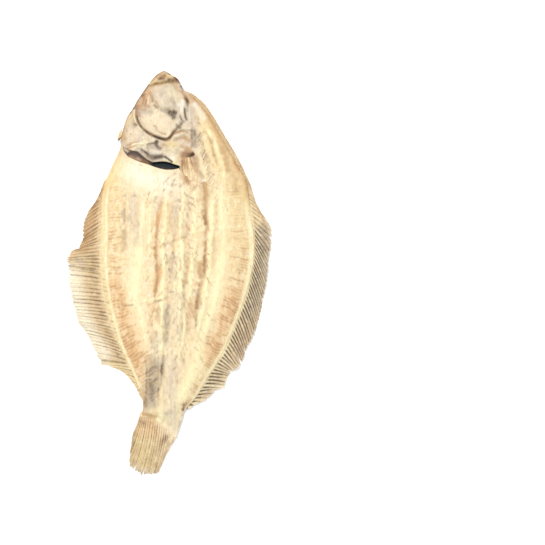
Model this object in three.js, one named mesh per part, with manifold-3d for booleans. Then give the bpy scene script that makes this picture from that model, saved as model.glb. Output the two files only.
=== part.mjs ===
// A whole dried dab, a right-eyed flatfish, lying on its eyed side with its pale blind side up.
// Millimetres, +Z up, +Y towards the snout, +X towards the dorsal edge.
// The group is moved at the end so that the origin is the middle of the underside.
import * as THREE from "three";
import { mergeVertices } from "three/addons/utils/BufferGeometryUtils.js";
import Module from "manifold-3d";

const wasm = await Module();
wasm.setup();

// Driving dimensions. The fish is about 270 mm from the snout to the end of the tail fin.
const snoutY = 134.5;
const tailBaseY = -101;
const tailSlant = 6; // the flesh ends on a slant, lower on the dorsal side
const tailStem = 28; // length over which that slant comes in
const bodySteps = { across: 18, along: 46 };
const gap = 0.35; // clear of the body, because touching solids may not overlap
const flatShare = 0.42; // share of the half width that lies flat on the surface
const foldedFin = { thickness: 1.1, seat: 1.5, proud: 0.6 };
const gillFloor = { blind: 6, eyed: 4.2 }; // heights where the two gill chambers end
const reach = { low: -5, middle: 5, high: 25 }; // cutting heights, past both surfaces

// The two edges of the flesh, from the tail to the snout, where the fins grow.
const ventralEdgePoints = [
  [-20.5, -97], [-17.5, -88], [-20, -76], [-27, -59.5], [-34.5, -43.5], [-41, -24],
  [-44.8, 0], [-45, 28], [-44, 54], [-38, 71], [-32.5, 83], [-31.5, 92],
  [-28, 103.5], [-21, 117], [-13, 128.5], [-6, snoutY],
];
const dorsalEdgePoints = [
  [4.5, -108], [8, -97], [10, -90.5], [17, -82.5], [24, -71], [37, -49], [49.5, -17],
  [55.5, 7], [56, 24], [54, 38], [53, 50], [50.5, 62.5], [44, 74], [36.5, 87],
  [26, 105], [17.5, 115.5], [9.5, 122], [5.5, 129], [0, snoutY],
];

// Sections of the flesh: heights of the back and of the fin line, and the edge's thickness.
const sections = [
  { y: tailBaseY, back: 4.4, line: 2.4, edge: 2.4 },
  { y: -88, back: 7.6, line: 3, edge: 2.8 },
  { y: -50, back: 10.4, line: 3.6, edge: 2.6 },
  { y: 0, back: 12.6, line: 3.8, edge: 2.6 },
  { y: 45, back: 13.2, line: 3.8, edge: 2.6 },
  { y: 80, back: 12.4, line: 4, edge: 3.4 },
  { y: 112, back: 10.6, line: 4.2, edge: 4.4 },
  { y: 126, back: 8.4, line: 4.2, edge: 4.4 },
  { y: snoutY, back: 6.2, line: 4.2, edge: 3.2 },
];

// A curve through points whose second value rises, as a function from it to the first.
function byY(points) {
  const spline = new THREE.SplineCurve(points.map((p) => new THREE.Vector2(...p)));
  const samples = spline.getPoints(points.length * 24);
  return (y) => {
    const i = samples.findIndex((sample) => sample.y >= y);
    if (i < 0) return samples[samples.length - 1].x;
    if (i === 0) return samples[0].x;
    const share = (y - samples[i - 1].y) / (samples[i].y - samples[i - 1].y);
    return THREE.MathUtils.lerp(samples[i - 1].x, samples[i].x, share);
  };
}

const ventralEdge = byY(ventralEdgePoints);
const dorsalEdge = byY(dorsalEdgePoints);
const backHeight = byY(sections.map(({ y, back }) => [back, y]));
const finLine = byY(sections.map(({ y, line }) => [line, y]));
const edgeThickness = byY(sections.map(({ y, edge }) => [edge, y]));

// Shared vertices only, which is what a boolean and a closed solid need.
function bare(geometry) {
  geometry.deleteAttribute("normal");
  geometry.deleteAttribute("uv");
  return mergeVertices(geometry, 1e-4);
}

// A box whose points are moved: place(u, v, w, point) sets the point that stands at those
// shares of the box's width, length and thickness.
function bentBox(across, along, place) {
  const box = new THREE.BoxGeometry(1, 1, 1, across, along, 1);
  const position = box.getAttribute("position");
  const point = new THREE.Vector3();
  for (let i = 0; i < position.count; i++) {
    point.fromBufferAttribute(position, i).addScalar(0.5);
    place(point.x, point.y, point.z, point);
    position.setXYZ(i, point.x, point.y, point.z);
  }
  return bare(box);
}

function solidOf(geometry) {
  return new wasm.Manifold(
    new wasm.Mesh({
      numProp: 3,
      vertProperties: geometry.getAttribute("position").array,
      triVerts: new Uint32Array(geometry.getIndex().array),
    }),
  );
}

function geometryOf(solid) {
  const mesh = solid.getMesh();
  const geometry = new THREE.BufferGeometry();
  geometry.setAttribute("position", new THREE.BufferAttribute(mesh.vertProperties, 3));
  geometry.setIndex(new THREE.BufferAttribute(mesh.triVerts, 1));
  return geometry;
}

// A smooth closed outline, grown outwards by a margin and extruded from low to high.
function prism(outline, low, high, margin = 0) {
  const points = outline.map(([x, y]) => new THREE.Vector3(x, y, 0));
  const middle = new THREE.Box3().setFromPoints(points).getCenter(new THREE.Vector3());
  for (const point of points) {
    const away = point.clone().sub(middle);
    point.add(away.setLength(margin));
  }
  const smooth = new THREE.CatmullRomCurve3(points, true).getPoints(points.length * 4);
  smooth.pop();
  const shape = new THREE.Shape(smooth.map(({ x, y }) => new THREE.Vector2(x, y)));
  const geometry = new THREE.ExtrudeGeometry(shape, { depth: high - low, bevelEnabled: false });
  geometry.translate(0, 0, low);
  return solidOf(bare(geometry));
}

// The point of the tail end's slanted line at a share of the way to the dorsal side.
function tailEnd(share) {
  const left = ventralEdge(tailBaseY + tailSlant);
  const right = dorsalEdge(tailBaseY - tailSlant);
  const y = tailBaseY + tailSlant * (1 - 2 * share);
  return [THREE.MathUtils.lerp(left, right, share), y];
}

// The head and trunk as one solid, domed above and flattened where it lies.
function fleshSolid() {
  const dome = (t) => Math.pow(1 - Math.pow(t, 2.4), 0.75);
  const place = (u, v, w, point) => {
    const middleY = snoutY - (snoutY - tailBaseY) * Math.pow(1 - v, 1.2);
    const nearTail = THREE.MathUtils.clamp((tailBaseY + tailStem - middleY) / tailStem, 0, 1);
    const slant = tailSlant * nearTail * nearTail;
    const left = ventralEdge(middleY + slant);
    const right = dorsalEdge(middleY - slant);
    const t = Math.abs(2 * u - 1);
    const line = finLine(middleY);
    const half = edgeThickness(middleY) / 2;
    const under = (line - half) * THREE.MathUtils.smoothstep(t, flatShare, 1.05);
    const over = line + half + (backHeight(middleY) - line - half) * dome(t);
    const x = THREE.MathUtils.lerp(left, right, u);
    point.set(x, middleY + slant * (1 - 2 * u), w < 0.5 ? under : over);
  };
  return solidOf(bentBox(bodySteps.across, bodySteps.along, place));
}

// Guide rays of the long fins, from the tail to the head: y of the root on the edge, then x,
// y and height of the tip. The sheet is carried from one guide ray to the next.
const analRays = [
  [-85, -18.6, -84, 2.2], [-78, -22, -76, 2], [-71, -27, -69, 1.6], [-63.5, -32.5, -64, 1.4],
  [-61.5, -44.5, -62.5, 1.2], [-52, -49.5, -50, 1.6], [-36, -59, -34, 2.6],
  [-28, -63.5, -26, 3], [-11, -67.5, -10, 2.4], [6, -68.5, 9.5, 2], [15.5, -66, 16.5, 2.6],
  [17.5, -60.5, 17, 3.4], [34, -57.8, 33.5, 3.6], [43, -54.5, 41.5, 3.4],
  [47.5, -50.5, 45, 3.2], [61, -44.8, 59, 3.4],
];
const dorsalRays = [
  [-89.5, 11.8, -90, 2.6], [-84, 18.6, -84.6, 2.2], [-79, 26.5, -82.5, 1.6],
  [-74, 34.5, -77, 1.4], [-66, 38.5, -70, 1.6], [-60.5, 41, -65.5, 2.4],
  [-55, 45.5, -63.5, 3.4], [-46, 48.8, -58, 2.8], [-30, 52.8, -44, 2], [-6, 61.2, -18, 1.6],
  [22, 66.4, 9, 2], [33, 68.5, 22.5, 3], [39, 66.6, 33, 3.2], [45, 60.8, 41, 2.8],
  [51, 57.6, 47, 2.2], [72, 49.4, 71, 2], [98, 34.6, 97.6, 2.2], [113, 25, 113, 2.6],
  [121, 12.4, 121.4, 3.4],
];
// Tips of the tail fin's guide rays, from the ventral to the dorsal side: x, y.
const tailTips = [
  [-26, -124], [-24, -130.5], [-17.8, -134.5], [-12.5, -134], [-8.6, -131.8], [-6.4, -127],
];

// Each column of the guide rays at a share of the way along them.
function guideAt(rays, share) {
  const at = THREE.MathUtils.clamp(share, 0, 1) * (rays.length - 1);
  const i = Math.min(Math.floor(at), rays.length - 2);
  const between = (value, column) => THREE.MathUtils.lerp(value, rays[i + 1][column], at - i);
  return rays[i].map(between);
}

// A long fin beside the body, thin at its tips. side is -1 on the ventral edge, 1 on the dorsal.
function longFin(rays, edge, side, along) {
  const place = (u, v, w, point) => {
    const out = side < 0 ? 1 - u : u;
    const [rootY, tipX, tipY, tipZ] = guideAt(rays, v);
    const rootX = edge(rootY) + side * gap;
    const sag = 0.9 * Math.sin(Math.PI * out);
    const thickness = THREE.MathUtils.lerp(1.3, 0.7, out);
    point.set(
      THREE.MathUtils.lerp(rootX, tipX, out),
      THREE.MathUtils.lerp(rootY, tipY, out),
      THREE.MathUtils.lerp(finLine(rootY), tipZ, out) - sag + (w - 0.5) * thickness,
    );
  };
  return bentBox(4, along, place);
}

function tailFin() {
  const place = (u, v, w, point) => {
    const [rootX, rootY] = tailEnd(u);
    const [tipX, tipY] = guideAt(tailTips, u);
    const out = 1 - v;
    const thickness = THREE.MathUtils.lerp(2, 0.9, out);
    const middle = 2.4 - 1.1 * out + 0.5 * Math.sin(Math.PI * out);
    point.set(
      THREE.MathUtils.lerp(rootX, tipX, out),
      THREE.MathUtils.lerp(rootY - gap, tipY, out),
      middle + (w - 0.5) * thickness,
    );
  };
  return bentBox(12, 8, place);
}

// Outlines of the folded pectoral fins, which lie back along the flesh behind the gill covers.
const pectoralFins = {
  blind_pectoral_fin: {
    up: 1,
    outline: [[9.6, 75], [12.8, 76], [16, 70.5], [18.6, 62.6], [16.6, 58.8], [13.6, 63], [11, 69.5]],
  },
  eyed_pectoral_fin: {
    up: -1,
    outline: [[12.5, 70.5], [16.8, 71.8], [20.5, 62], [22.5, 50], [20, 45.5], [16, 47], [14, 58]],
  },
};

// The small pelvic fins stand out from the throat, one below the other.
const pelvicFins = {
  blind_pelvic_fin: { low: 4.6, high: 5.6, outline: [[-32.1, 96], [-31.9, 90.5], [-34.8, 87.6], [-33.4, 92.5]] },
  eyed_pelvic_fin: { low: 2.6, high: 3.6, outline: [[-32.3, 95], [-32, 90], [-34, 87.2], [-33.2, 91.5]] },
};

// The gill slits, open to the ventral edge, below the free rims of the gill covers.
const gillSlits = {
  blind: [
    [-36, 85.4], [-29.5, 79.2], [-22.4, 75.2], [-15.2, 72.5], [-7.7, 70.2], [-2.1, 68.6],
    [3.4, 68.8], [7.1, 70.2], [4.6, 72.6], [-2.1, 75.8], [-7.7, 77.2], [-14, 80], [-24.4, 81.6],
  ],
  eyed: [
    [-36, 85.4], [-28, 77], [-19, 72.4], [-9, 69], [0, 66.4], [6, 67.2],
    [8, 70.5], [3, 75.4], [-6, 79], [-16, 82], [-26, 83.6],
  ],
};

// The eyes lie close together on the hidden side, each in its socket near the snout.
const eyes = {
  upper_eye: { x: 4.6, y: 115.4 },
  lower_eye: { x: -10.8, y: 117.4 },
};
const eyeBall = { radius: 4.4, halfHeight: 2.8, z: 3.1 };
const eyeSocket = { radius: 4.9, halfHeight: 4.6, z: 2.2 };

function ellipsoid({ radius, halfHeight, z }, { x, y }) {
  const ball = new THREE.SphereGeometry(1, 20, 12);
  ball.rotateX(Math.PI / 2);
  ball.scale(radius, radius, halfHeight);
  ball.translate(x, y, z);
  return solidOf(bare(ball));
}

// A folded fin follows the surface of the flesh that it lies on: up is 1 on the blind side
// and -1 on the eyed side, where it is pressed level with the skin.
function pectoralFin(flesh, { up, outline }) {
  const inside = flesh.translate([0, 0, -up * foldedFin.thickness]);
  const sheet = flesh.intersect(prism(outline, reach.low, reach.high)).subtract(inside);
  return up > 0 ? sheet.translate([0, 0, foldedFin.proud]) : sheet;
}

// The shallow bed in the flesh that a folded fin lies in.
function pectoralBed(flesh, { up, outline }) {
  const inside = flesh.translate([0, 0, -up * foldedFin.seat]);
  const low = up > 0 ? reach.middle : reach.low;
  const high = up > 0 ? reach.high : reach.middle;
  return prism(outline, low, high, gap).subtract(inside);
}

const flesh = fleshSolid();
let body = flesh
  .subtract(prism(gillSlits.blind, gillFloor.blind, reach.high))
  .subtract(prism(gillSlits.eyed, reach.low, gillFloor.eyed));
for (const fin of Object.values(pectoralFins)) {
  body = body.subtract(pectoralBed(flesh, fin));
}
for (const place of Object.values(eyes)) {
  body = body.subtract(ellipsoid(eyeSocket, place));
}

const finishes = {
  skin: new THREE.MeshStandardMaterial({ color: 0xf0dcae, roughness: 0.6, metalness: 0 }),
  fin: new THREE.MeshStandardMaterial({ color: 0xd9c292, roughness: 0.55, metalness: 0 }),
  eye: new THREE.MeshStandardMaterial({ color: 0x1b2a2e, roughness: 0.2, metalness: 0 }),
};

const dab = new THREE.Group();

function addPiece(name, geometry, finish) {
  const mesh = new THREE.Mesh(geometry, finish);
  mesh.name = name;
  dab.add(mesh);
}

addPiece("body", geometryOf(body), finishes.skin);
addPiece("anal_fin", longFin(analRays, ventralEdge, -1, 60), finishes.fin);
addPiece("dorsal_fin", longFin(dorsalRays, dorsalEdge, 1, 72), finishes.fin);
addPiece("tail_fin", tailFin(), finishes.fin);
for (const [name, fin] of Object.entries(pectoralFins)) {
  addPiece(name, geometryOf(pectoralFin(flesh, fin)), finishes.fin);
}
for (const [name, { low, high, outline }] of Object.entries(pelvicFins)) {
  addPiece(name, geometryOf(prism(outline, low, high)), finishes.fin);
}
for (const [name, place] of Object.entries(eyes)) {
  addPiece(name, geometryOf(ellipsoid(eyeBall, place)), finishes.eye);
}

// The origin is the middle of the whole fish's box, on the surface that it lies on.
const box = new THREE.Box3().setFromObject(dab);
dab.position.set(-(box.min.x + box.max.x) / 2, -(box.min.y + box.max.y) / 2, -box.min.z);

export default dab;
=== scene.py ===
import math
import random
import bpy
import numpy as np
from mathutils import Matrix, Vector, noise
from mathutils.bvhtree import BVHTree


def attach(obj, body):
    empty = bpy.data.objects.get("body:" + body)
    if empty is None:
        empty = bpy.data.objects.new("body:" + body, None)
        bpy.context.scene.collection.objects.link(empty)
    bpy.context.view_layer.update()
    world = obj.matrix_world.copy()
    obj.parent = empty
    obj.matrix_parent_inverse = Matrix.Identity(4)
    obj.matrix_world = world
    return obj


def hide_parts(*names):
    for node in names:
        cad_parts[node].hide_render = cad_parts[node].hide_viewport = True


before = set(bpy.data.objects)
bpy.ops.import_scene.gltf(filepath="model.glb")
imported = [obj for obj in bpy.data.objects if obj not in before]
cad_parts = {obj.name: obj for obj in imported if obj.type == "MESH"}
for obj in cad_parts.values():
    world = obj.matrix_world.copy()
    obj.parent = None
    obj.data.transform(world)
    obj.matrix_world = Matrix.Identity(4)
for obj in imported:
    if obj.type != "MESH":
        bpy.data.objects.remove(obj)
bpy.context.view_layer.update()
mm = 0.001


def clearSelection():
    if bpy.context.object and bpy.context.object.mode != "OBJECT":
        bpy.ops.object.mode_set(mode="OBJECT")
    bpy.ops.object.select_all(action="DESELECT")


def slab(name, across, along):
    # a flat grid pulled up into a closed slab, the blank for the body and every fin
    clearSelection()
    bpy.ops.mesh.primitive_grid_add(x_subdivisions=across, y_subdivisions=along, size=1)
    piece = bpy.context.object
    piece.name = name
    piece.data.name = name
    bpy.ops.object.mode_set(mode="EDIT")
    bpy.ops.mesh.select_all(action="SELECT")
    bpy.ops.mesh.extrude_region_move(TRANSFORM_OT_translate={"value": (0, 0, 1)})
    bpy.ops.mesh.select_all(action="SELECT")
    bpy.ops.mesh.normals_make_consistent(inside=False)
    bpy.ops.object.mode_set(mode="OBJECT")
    return piece


def vertexPlaces(piece):
    flat = np.empty(len(piece.data.vertices) * 3)
    piece.data.vertices.foreach_get("co", flat)
    return flat.reshape(-1, 3).T


def shares(piece):
    # where each vertex stands in the blank: across, along, and whether it is on top
    across, along, up = vertexPlaces(piece)
    return across + 0.5, along + 0.5, up > 0.5


def shape(piece, x, y, z):
    spots = np.stack([x, y, z], axis=1) * mm
    piece.data.vertices.foreach_set("co", spots.ravel())
    piece.data.update()


def smoothSteps(value, low, high):
    share = np.clip((value - low) / (high - low), 0, 1)
    return share * share * (3 - 2 * share)


def between(value, start, full, fading, end):
    # 1 from full to fading, and 0 before start and after end
    return smoothSteps(value, start, full) * (1 - smoothSteps(value, fading, end))


def hump(value, width):
    # 1 at zero, falling away over the width on both sides
    return np.exp(-(value / width) ** 2)


def mix(low, high, share):
    return low + (high - low) * share


def curveThrough(points, perSpan=8):
    # a smooth run of places through a few chosen ones
    given = np.array(points, float)
    ends = np.vstack([2 * given[0] - given[1], given, 2 * given[-1] - given[-2]])
    runs = []
    for before, start, stop, after in zip(ends[:-3], ends[1:-2], ends[2:-1], ends[3:]):
        t = np.linspace(0, 1, perSpan, endpoint=False)[:, None]
        runs.append(0.5 * (2 * start + (stop - before) * t
                           + (2 * before - 5 * start + 4 * stop - after) * t ** 2
                           + (3 * start - before - 3 * stop + after) * t ** 3))
    return np.vstack(runs + [given[-1:]])


def alongCurve(points, share):
    # each value of the points' smooth curve, read at a share of its length
    run = curveThrough(points, 8)
    where = np.linspace(0, 1, len(run))
    return [np.interp(share, where, values) for values in run.T]


def alongY(points):
    # the first value of each point, as a smooth function of the second
    run = curveThrough(points, 16)
    order = np.argsort(run[:, 1])
    return lambda y: np.interp(y, run[order, 1], run[order, 0])


def near(x, y, points, width, fade=0.0):
    # 1 on the line through the points, falling away over the width; fade thins its two ends
    run = curveThrough(points, 5) if len(points) > 2 else np.array(points, float)
    reach = width * 3
    close = ((x > run[:, 0].min() - reach) & (x < run[:, 0].max() + reach)
             & (y > run[:, 1].min() - reach) & (y < run[:, 1].max() + reach))
    result = np.zeros_like(x)
    if not close.any():
        return result
    px, py = x[close], y[close]
    nearest = np.full(px.shape, 1e9)
    where = np.zeros_like(px)
    spans = len(run) - 1
    for i in range(spans):
        ax, ay = run[i]
        dx, dy = run[i + 1] - run[i]
        t = np.clip(((px - ax) * dx + (py - ay) * dy) / max(dx * dx + dy * dy, 1e-9), 0, 1)
        gone = np.hypot(px - ax - t * dx, py - ay - t * dy)
        better = gone < nearest
        nearest = np.where(better, gone, nearest)
        where = np.where(better, (i + t) / spans, where)
    strength = hump(nearest, width)
    if fade:
        # a short wide stroke needs a longer fade
        length = np.hypot(*np.diff(run, axis=0).T).sum()
        fade = min(max(fade, 0.9 * width / length), 0.5)
        strength *= smoothSteps(where, 0, fade) * smoothSteps(1 - where, 0, fade)
    result[close] = strength
    return result


def grain(x, y, size, seed, stretch=1.0):
    # smooth random values from -1 to 1 with the given grain size, longer along y by the stretch
    # the places are turned first, so that the noise's own grid never lines up with the fish
    u, v = x / size, y / (size * stretch)
    across, along = 0.83 * u - 0.56 * v, 0.56 * u + 0.83 * v
    return np.array([noise.noise(Vector((a, b, seed))) for a, b in zip(across, along)])


def tone(red, green, blue):
    # a screen colour as the linear one that shaders use
    rgb = np.array([red, green, blue]) / 255
    return np.where(rgb <= 0.04045, rgb / 12.92, ((rgb + 0.055) / 1.055) ** 2.4)


def paint(tint, amount, colour):
    # lays a named tone over the tint, by the amount at each vertex
    tint += (tones[colour] - tint) * np.clip(amount, 0, 1)[:, None]


def paintStrokes(tint, x, y, strokes, variation):
    for colour, strength, width, points in strokes:
        paint(tint, strength * near(x, y, points, width) * variation, colour)


def storeTint(piece, tint, name="tint"):
    layer = piece.data.color_attributes.new(name, "FLOAT_COLOR", "POINT")
    full = np.ones((len(tint), 4), np.float32)
    full[:, :3] = np.clip(tint, 0, 1)
    layer.data.foreach_set("color", full.ravel())


def finishPiece(piece, material, slot, *nodes, angle=60):
    clearSelection()
    piece.select_set(True)
    bpy.context.view_layer.objects.active = piece
    bpy.ops.object.shade_smooth_by_angle(angle=math.radians(angle))
    piece.data.materials.clear()
    piece.data.materials.append(material)
    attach(piece, "root")
    if nodes:
        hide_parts(*nodes)


tones = {
    "cream": tone(248, 228, 187), "bright": tone(255, 246, 200), "white": tone(252, 244, 220),
    "band": tone(240, 210, 163), "orange": tone(230, 186, 136), "brown": tone(188, 150, 112),
    "umber": tone(126, 92, 66), "grey": tone(204, 188, 162), "lilac": tone(226, 210, 184),
    "stone": tone(222, 206, 178), "slate": tone(141, 127, 110), "soot": tone(66, 58, 52),
    # the teal-black tone below is the painted shade deep inside the gill slit, and the eyes' dark pupils
    "slitShadeAndPupil": tone(8, 30, 38), "straw": tone(238, 214, 156), "olive": tone(176, 146, 98),
    "pale": tone(246, 232, 198), "tan": tone(206, 172, 126), "gap": tone(116, 92, 60),
    "toffee": tone(196, 152, 98), "gapDark": tone(70, 52, 34), "rust": tone(208, 162, 112),
    "mauve": tone(112, 94, 86),
    "hide": tone(122, 98, 80), "hideDark": tone(84, 66, 54), "hidePale": tone(164, 138, 112),
    # the dark blue-grey tone below serves the eyed side's dark patches and the painted shade inside its gill
    # slit
    "stainAndShade": tone(46, 58, 64), "lip": tone(190, 168, 140),
}

# outline and sections shared by the body and the fins, in millimetres
outline = {
    "snoutY": 134.4, "tailY": -101.0, "tailStem": 40.0,
    # each long fin: how many rays it has, and where its root starts and ends along the body
    "analRays": 60, "analRoot": (-84, 66), "dorsalRays": 84, "dorsalRoot": (-88.5, 121.8),
    "ventral": [(-20.5, -97), (-17.5, -88), (-20, -76), (-27, -59.5), (-34.5, -43.5), (-41, -24),
                (-44.8, 0), (-45, 28), (-44, 54), (-38, 71), (-32.5, 83), (-31.5, 92),
                (-28, 103.5), (-24.2, 109.2), (-21, 115), (-13.2, 126.2), (-8.6, 131.6), (-4, 134.4)],
    "dorsal": [(4.5, -108), (8, -97), (10, -90.5), (17, -82.5), (24, -71), (37, -49), (49.5, -17),
               (55.5, 7), (56, 24), (54, 38), (53, 50), (50.5, 62.5), (44, 74), (36.5, 87),
               (26, 105), (17.5, 115.5), (9.8, 122), (7.4, 126), (5.4, 129.4), (1.4, 131.8),
               (-2.8, 134.4)],
    # height of the back, height of the fin line, against y
    "back": [(3.1, -104), (3.6, -100), (5.6, -93), (7.4, -86), (10, -50), (11.8, 0), (12.3, 45),
             (11.6, 80), (9.9, 112), (7.6, 126), (5.2, 134.4)],
    "line": [(2.4, -101), (3, -88), (3.6, -50), (3.8, 0), (3.8, 45), (4, 80), (4.2, 134.4)],
}
ventralEdge = alongY(outline["ventral"])
dorsalEdge = alongY(outline["dorsal"])
backHeight = alongY(outline["back"])
finLine = alongY(outline["line"])

print("outline ready")

# the head and trunk: one slab, carried onto the outline, with the gill slits folded into it
fleshPlan = {
    "across": 168, "endCurve": [(6.6, 0), (6, 0.2), (4.6, 0.42), (-0.8, 0.68), (-6.4, 0.9), (-7.6, 1)],
    "endThin": 5.0, "endOver": 3.25, "endUnder": 2.0, "edgeCrowd": 0.34, "edgeHalf": 0.45,
    "flatShare": 0.4, "underKept": 0.34,
    # how far the rows swing to follow the gill slit: shift along y, share across
    "slitRow": 72.0, "slitReach": 60.0,
    "slitSwing": [(12, 0), (10.6, 0.05), (5.2, 0.16), (1.6, 0.28), (-1.2, 0.395), (-2.6, 0.48),
                  (-6, 0.7), (-9, 1)],
}

# raised and sunken lines of the pale side: lift in mm, width in mm, then the line
paleRelief = [
    # long muscle ridges of the trunk
    (0.6, 1.3, [(-16.6, 54), (-16.8, 40), (-17.8, 24), (-18.4, 10), (-20, -2), (-21.6, -14), (-18, -28),
                (-14.6, -48)]),
    (0.45, 0.9, [(-11.4, 50), (-11.6, 36), (-12.4, 22), (-12.4, 8)]),
    (0.7, 1.3, [(-0.6, 58), (-1.6, 42), (-2.6, 30), (-4, 16), (-2.6, 2), (-4, -16), (-4.6, -30),
                (-4.4, -46)]),
    (0.8, 1.5, [(9.8, 54), (8.8, 40), (8, 26), (8.8, 14), (9.2, 0), (8.4, -14), (6.6, -30), (5, -46),
                (3.4, -62)]),
    (0.5, 0.9, [(5.6, 4), (4.6, -8), (3.4, -20), (2.2, -34)]),
    (0.75, 1.3, [(17.6, 60), (17.8, 44), (17.4, 30), (17, 16), (15.6, 2), (14, -14), (11.4, -30),
                 (9, -46),
                 (7, -60)]),
    (0.65, 1.4, [(29, 52), (28.6, 36), (27.8, 18), (26, 0), (24.4, -14), (21, -30), (16, -50)]),
    (0.5, 2.3, [(34.4, 60), (35, 44), (36.2, 24), (35, 4), (31, -16), (26, -32), (20, -52)]),
    # grooves between them
    (-0.8, 1.1, [(22.6, 66), (23.8, 57), (23.9, 45), (25, 35), (25.4, 29), (24, 24), (24.4, 8),
                 (22.4, -6),
                 (19.6, -16), (18, -30)]),
    (-0.8, 1.2, [(-3.4, 49), (-5.7, 42.7), (-7.5, 32.8), (-8.3, 22), (-8.3, 14.6), (-7, 5), (-7.2, -4),
                 (-8, -11), (-10.4, -17)]),
    (-0.55, 1.1, [(5.4, 43), (4.9, 34), (3.8, 22), (3.2, 12), (1.8, 4), (1.5, -4), (0, -19), (-0.8, -34),
                  (-2.4, -43)]),
    (-0.35, 0.9, [(13.6, 50), (12.8, 34), (11.6, 18), (11.2, 4), (11, -12), (11.4, -30)]),
    (-0.45, 1.0, [(-21.4, 54), (-20.2, 38), (-21, 18), (-21.2, -2)]),
    # creases that cross the trunk
    (0.22, 0.8, [(-7, 19.6), (0, 21.2), (7.2, 24.6), (12, 25.8), (25.4, 29), (42, 30.6), (52, 32)]),
    (-0.14, 0.7, [(-6, 18.4), (0, 20), (7.2, 23.2), (12, 24.6)]),
    (0.24, 0.8, [(-30, -20.4), (-18.5, -18.4), (-8.7, -17.4), (-0.3, -14.4), (5, -12.2), (16.3, -10.2),
                 (23, -8.4)]),
    (-0.14, 0.7, [(-14.7, -20.6), (-8.7, -18.8), (-0.3, -15.9)]),
    (-0.2, 0.6, [(-31.4, 51), (-26, 51.6), (-20, 51.8)]),
    (-0.15, 0.7, [(-15, -54.8), (-10.4, -52.4), (-5.3, -50.4), (-1, -48.8), (3, -46.4), (7, -44.6),
                  (13, -44)]),
    (0.25, 0.9, [(-14.6, -53.4), (-9.8, -51), (-4.3, -48.6), (2, -45.2)]),
    # the tail stem: a fleshy pad at the end and the hollow above it
    (0.9, 4.6, [(-9.5, -91.5), (-6, -93)]),
    (-0.6, 2.4, [(-10.8, -60), (-9.6, -70), (-10.2, -82)]),
    (0.5, 1.2, [(-4.6, -56), (-4, -70), (-5.4, -84)]),
    (0.4, 1.0, [(1, -60), (0.4, -76), (0, -92), (1, -101)]),
    (-0.45, 0.8, [(9.2, -85), (9.4, -90), (7.6, -98)]),
    (-0.4, 0.8, [(-14.6, -66), (-15.2, -75), (-15.6, -84), (-17, -90)]),
]

# the cooler shade laid over the head
headShade = np.array([0.9, 0.91, 1.0])

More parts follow.
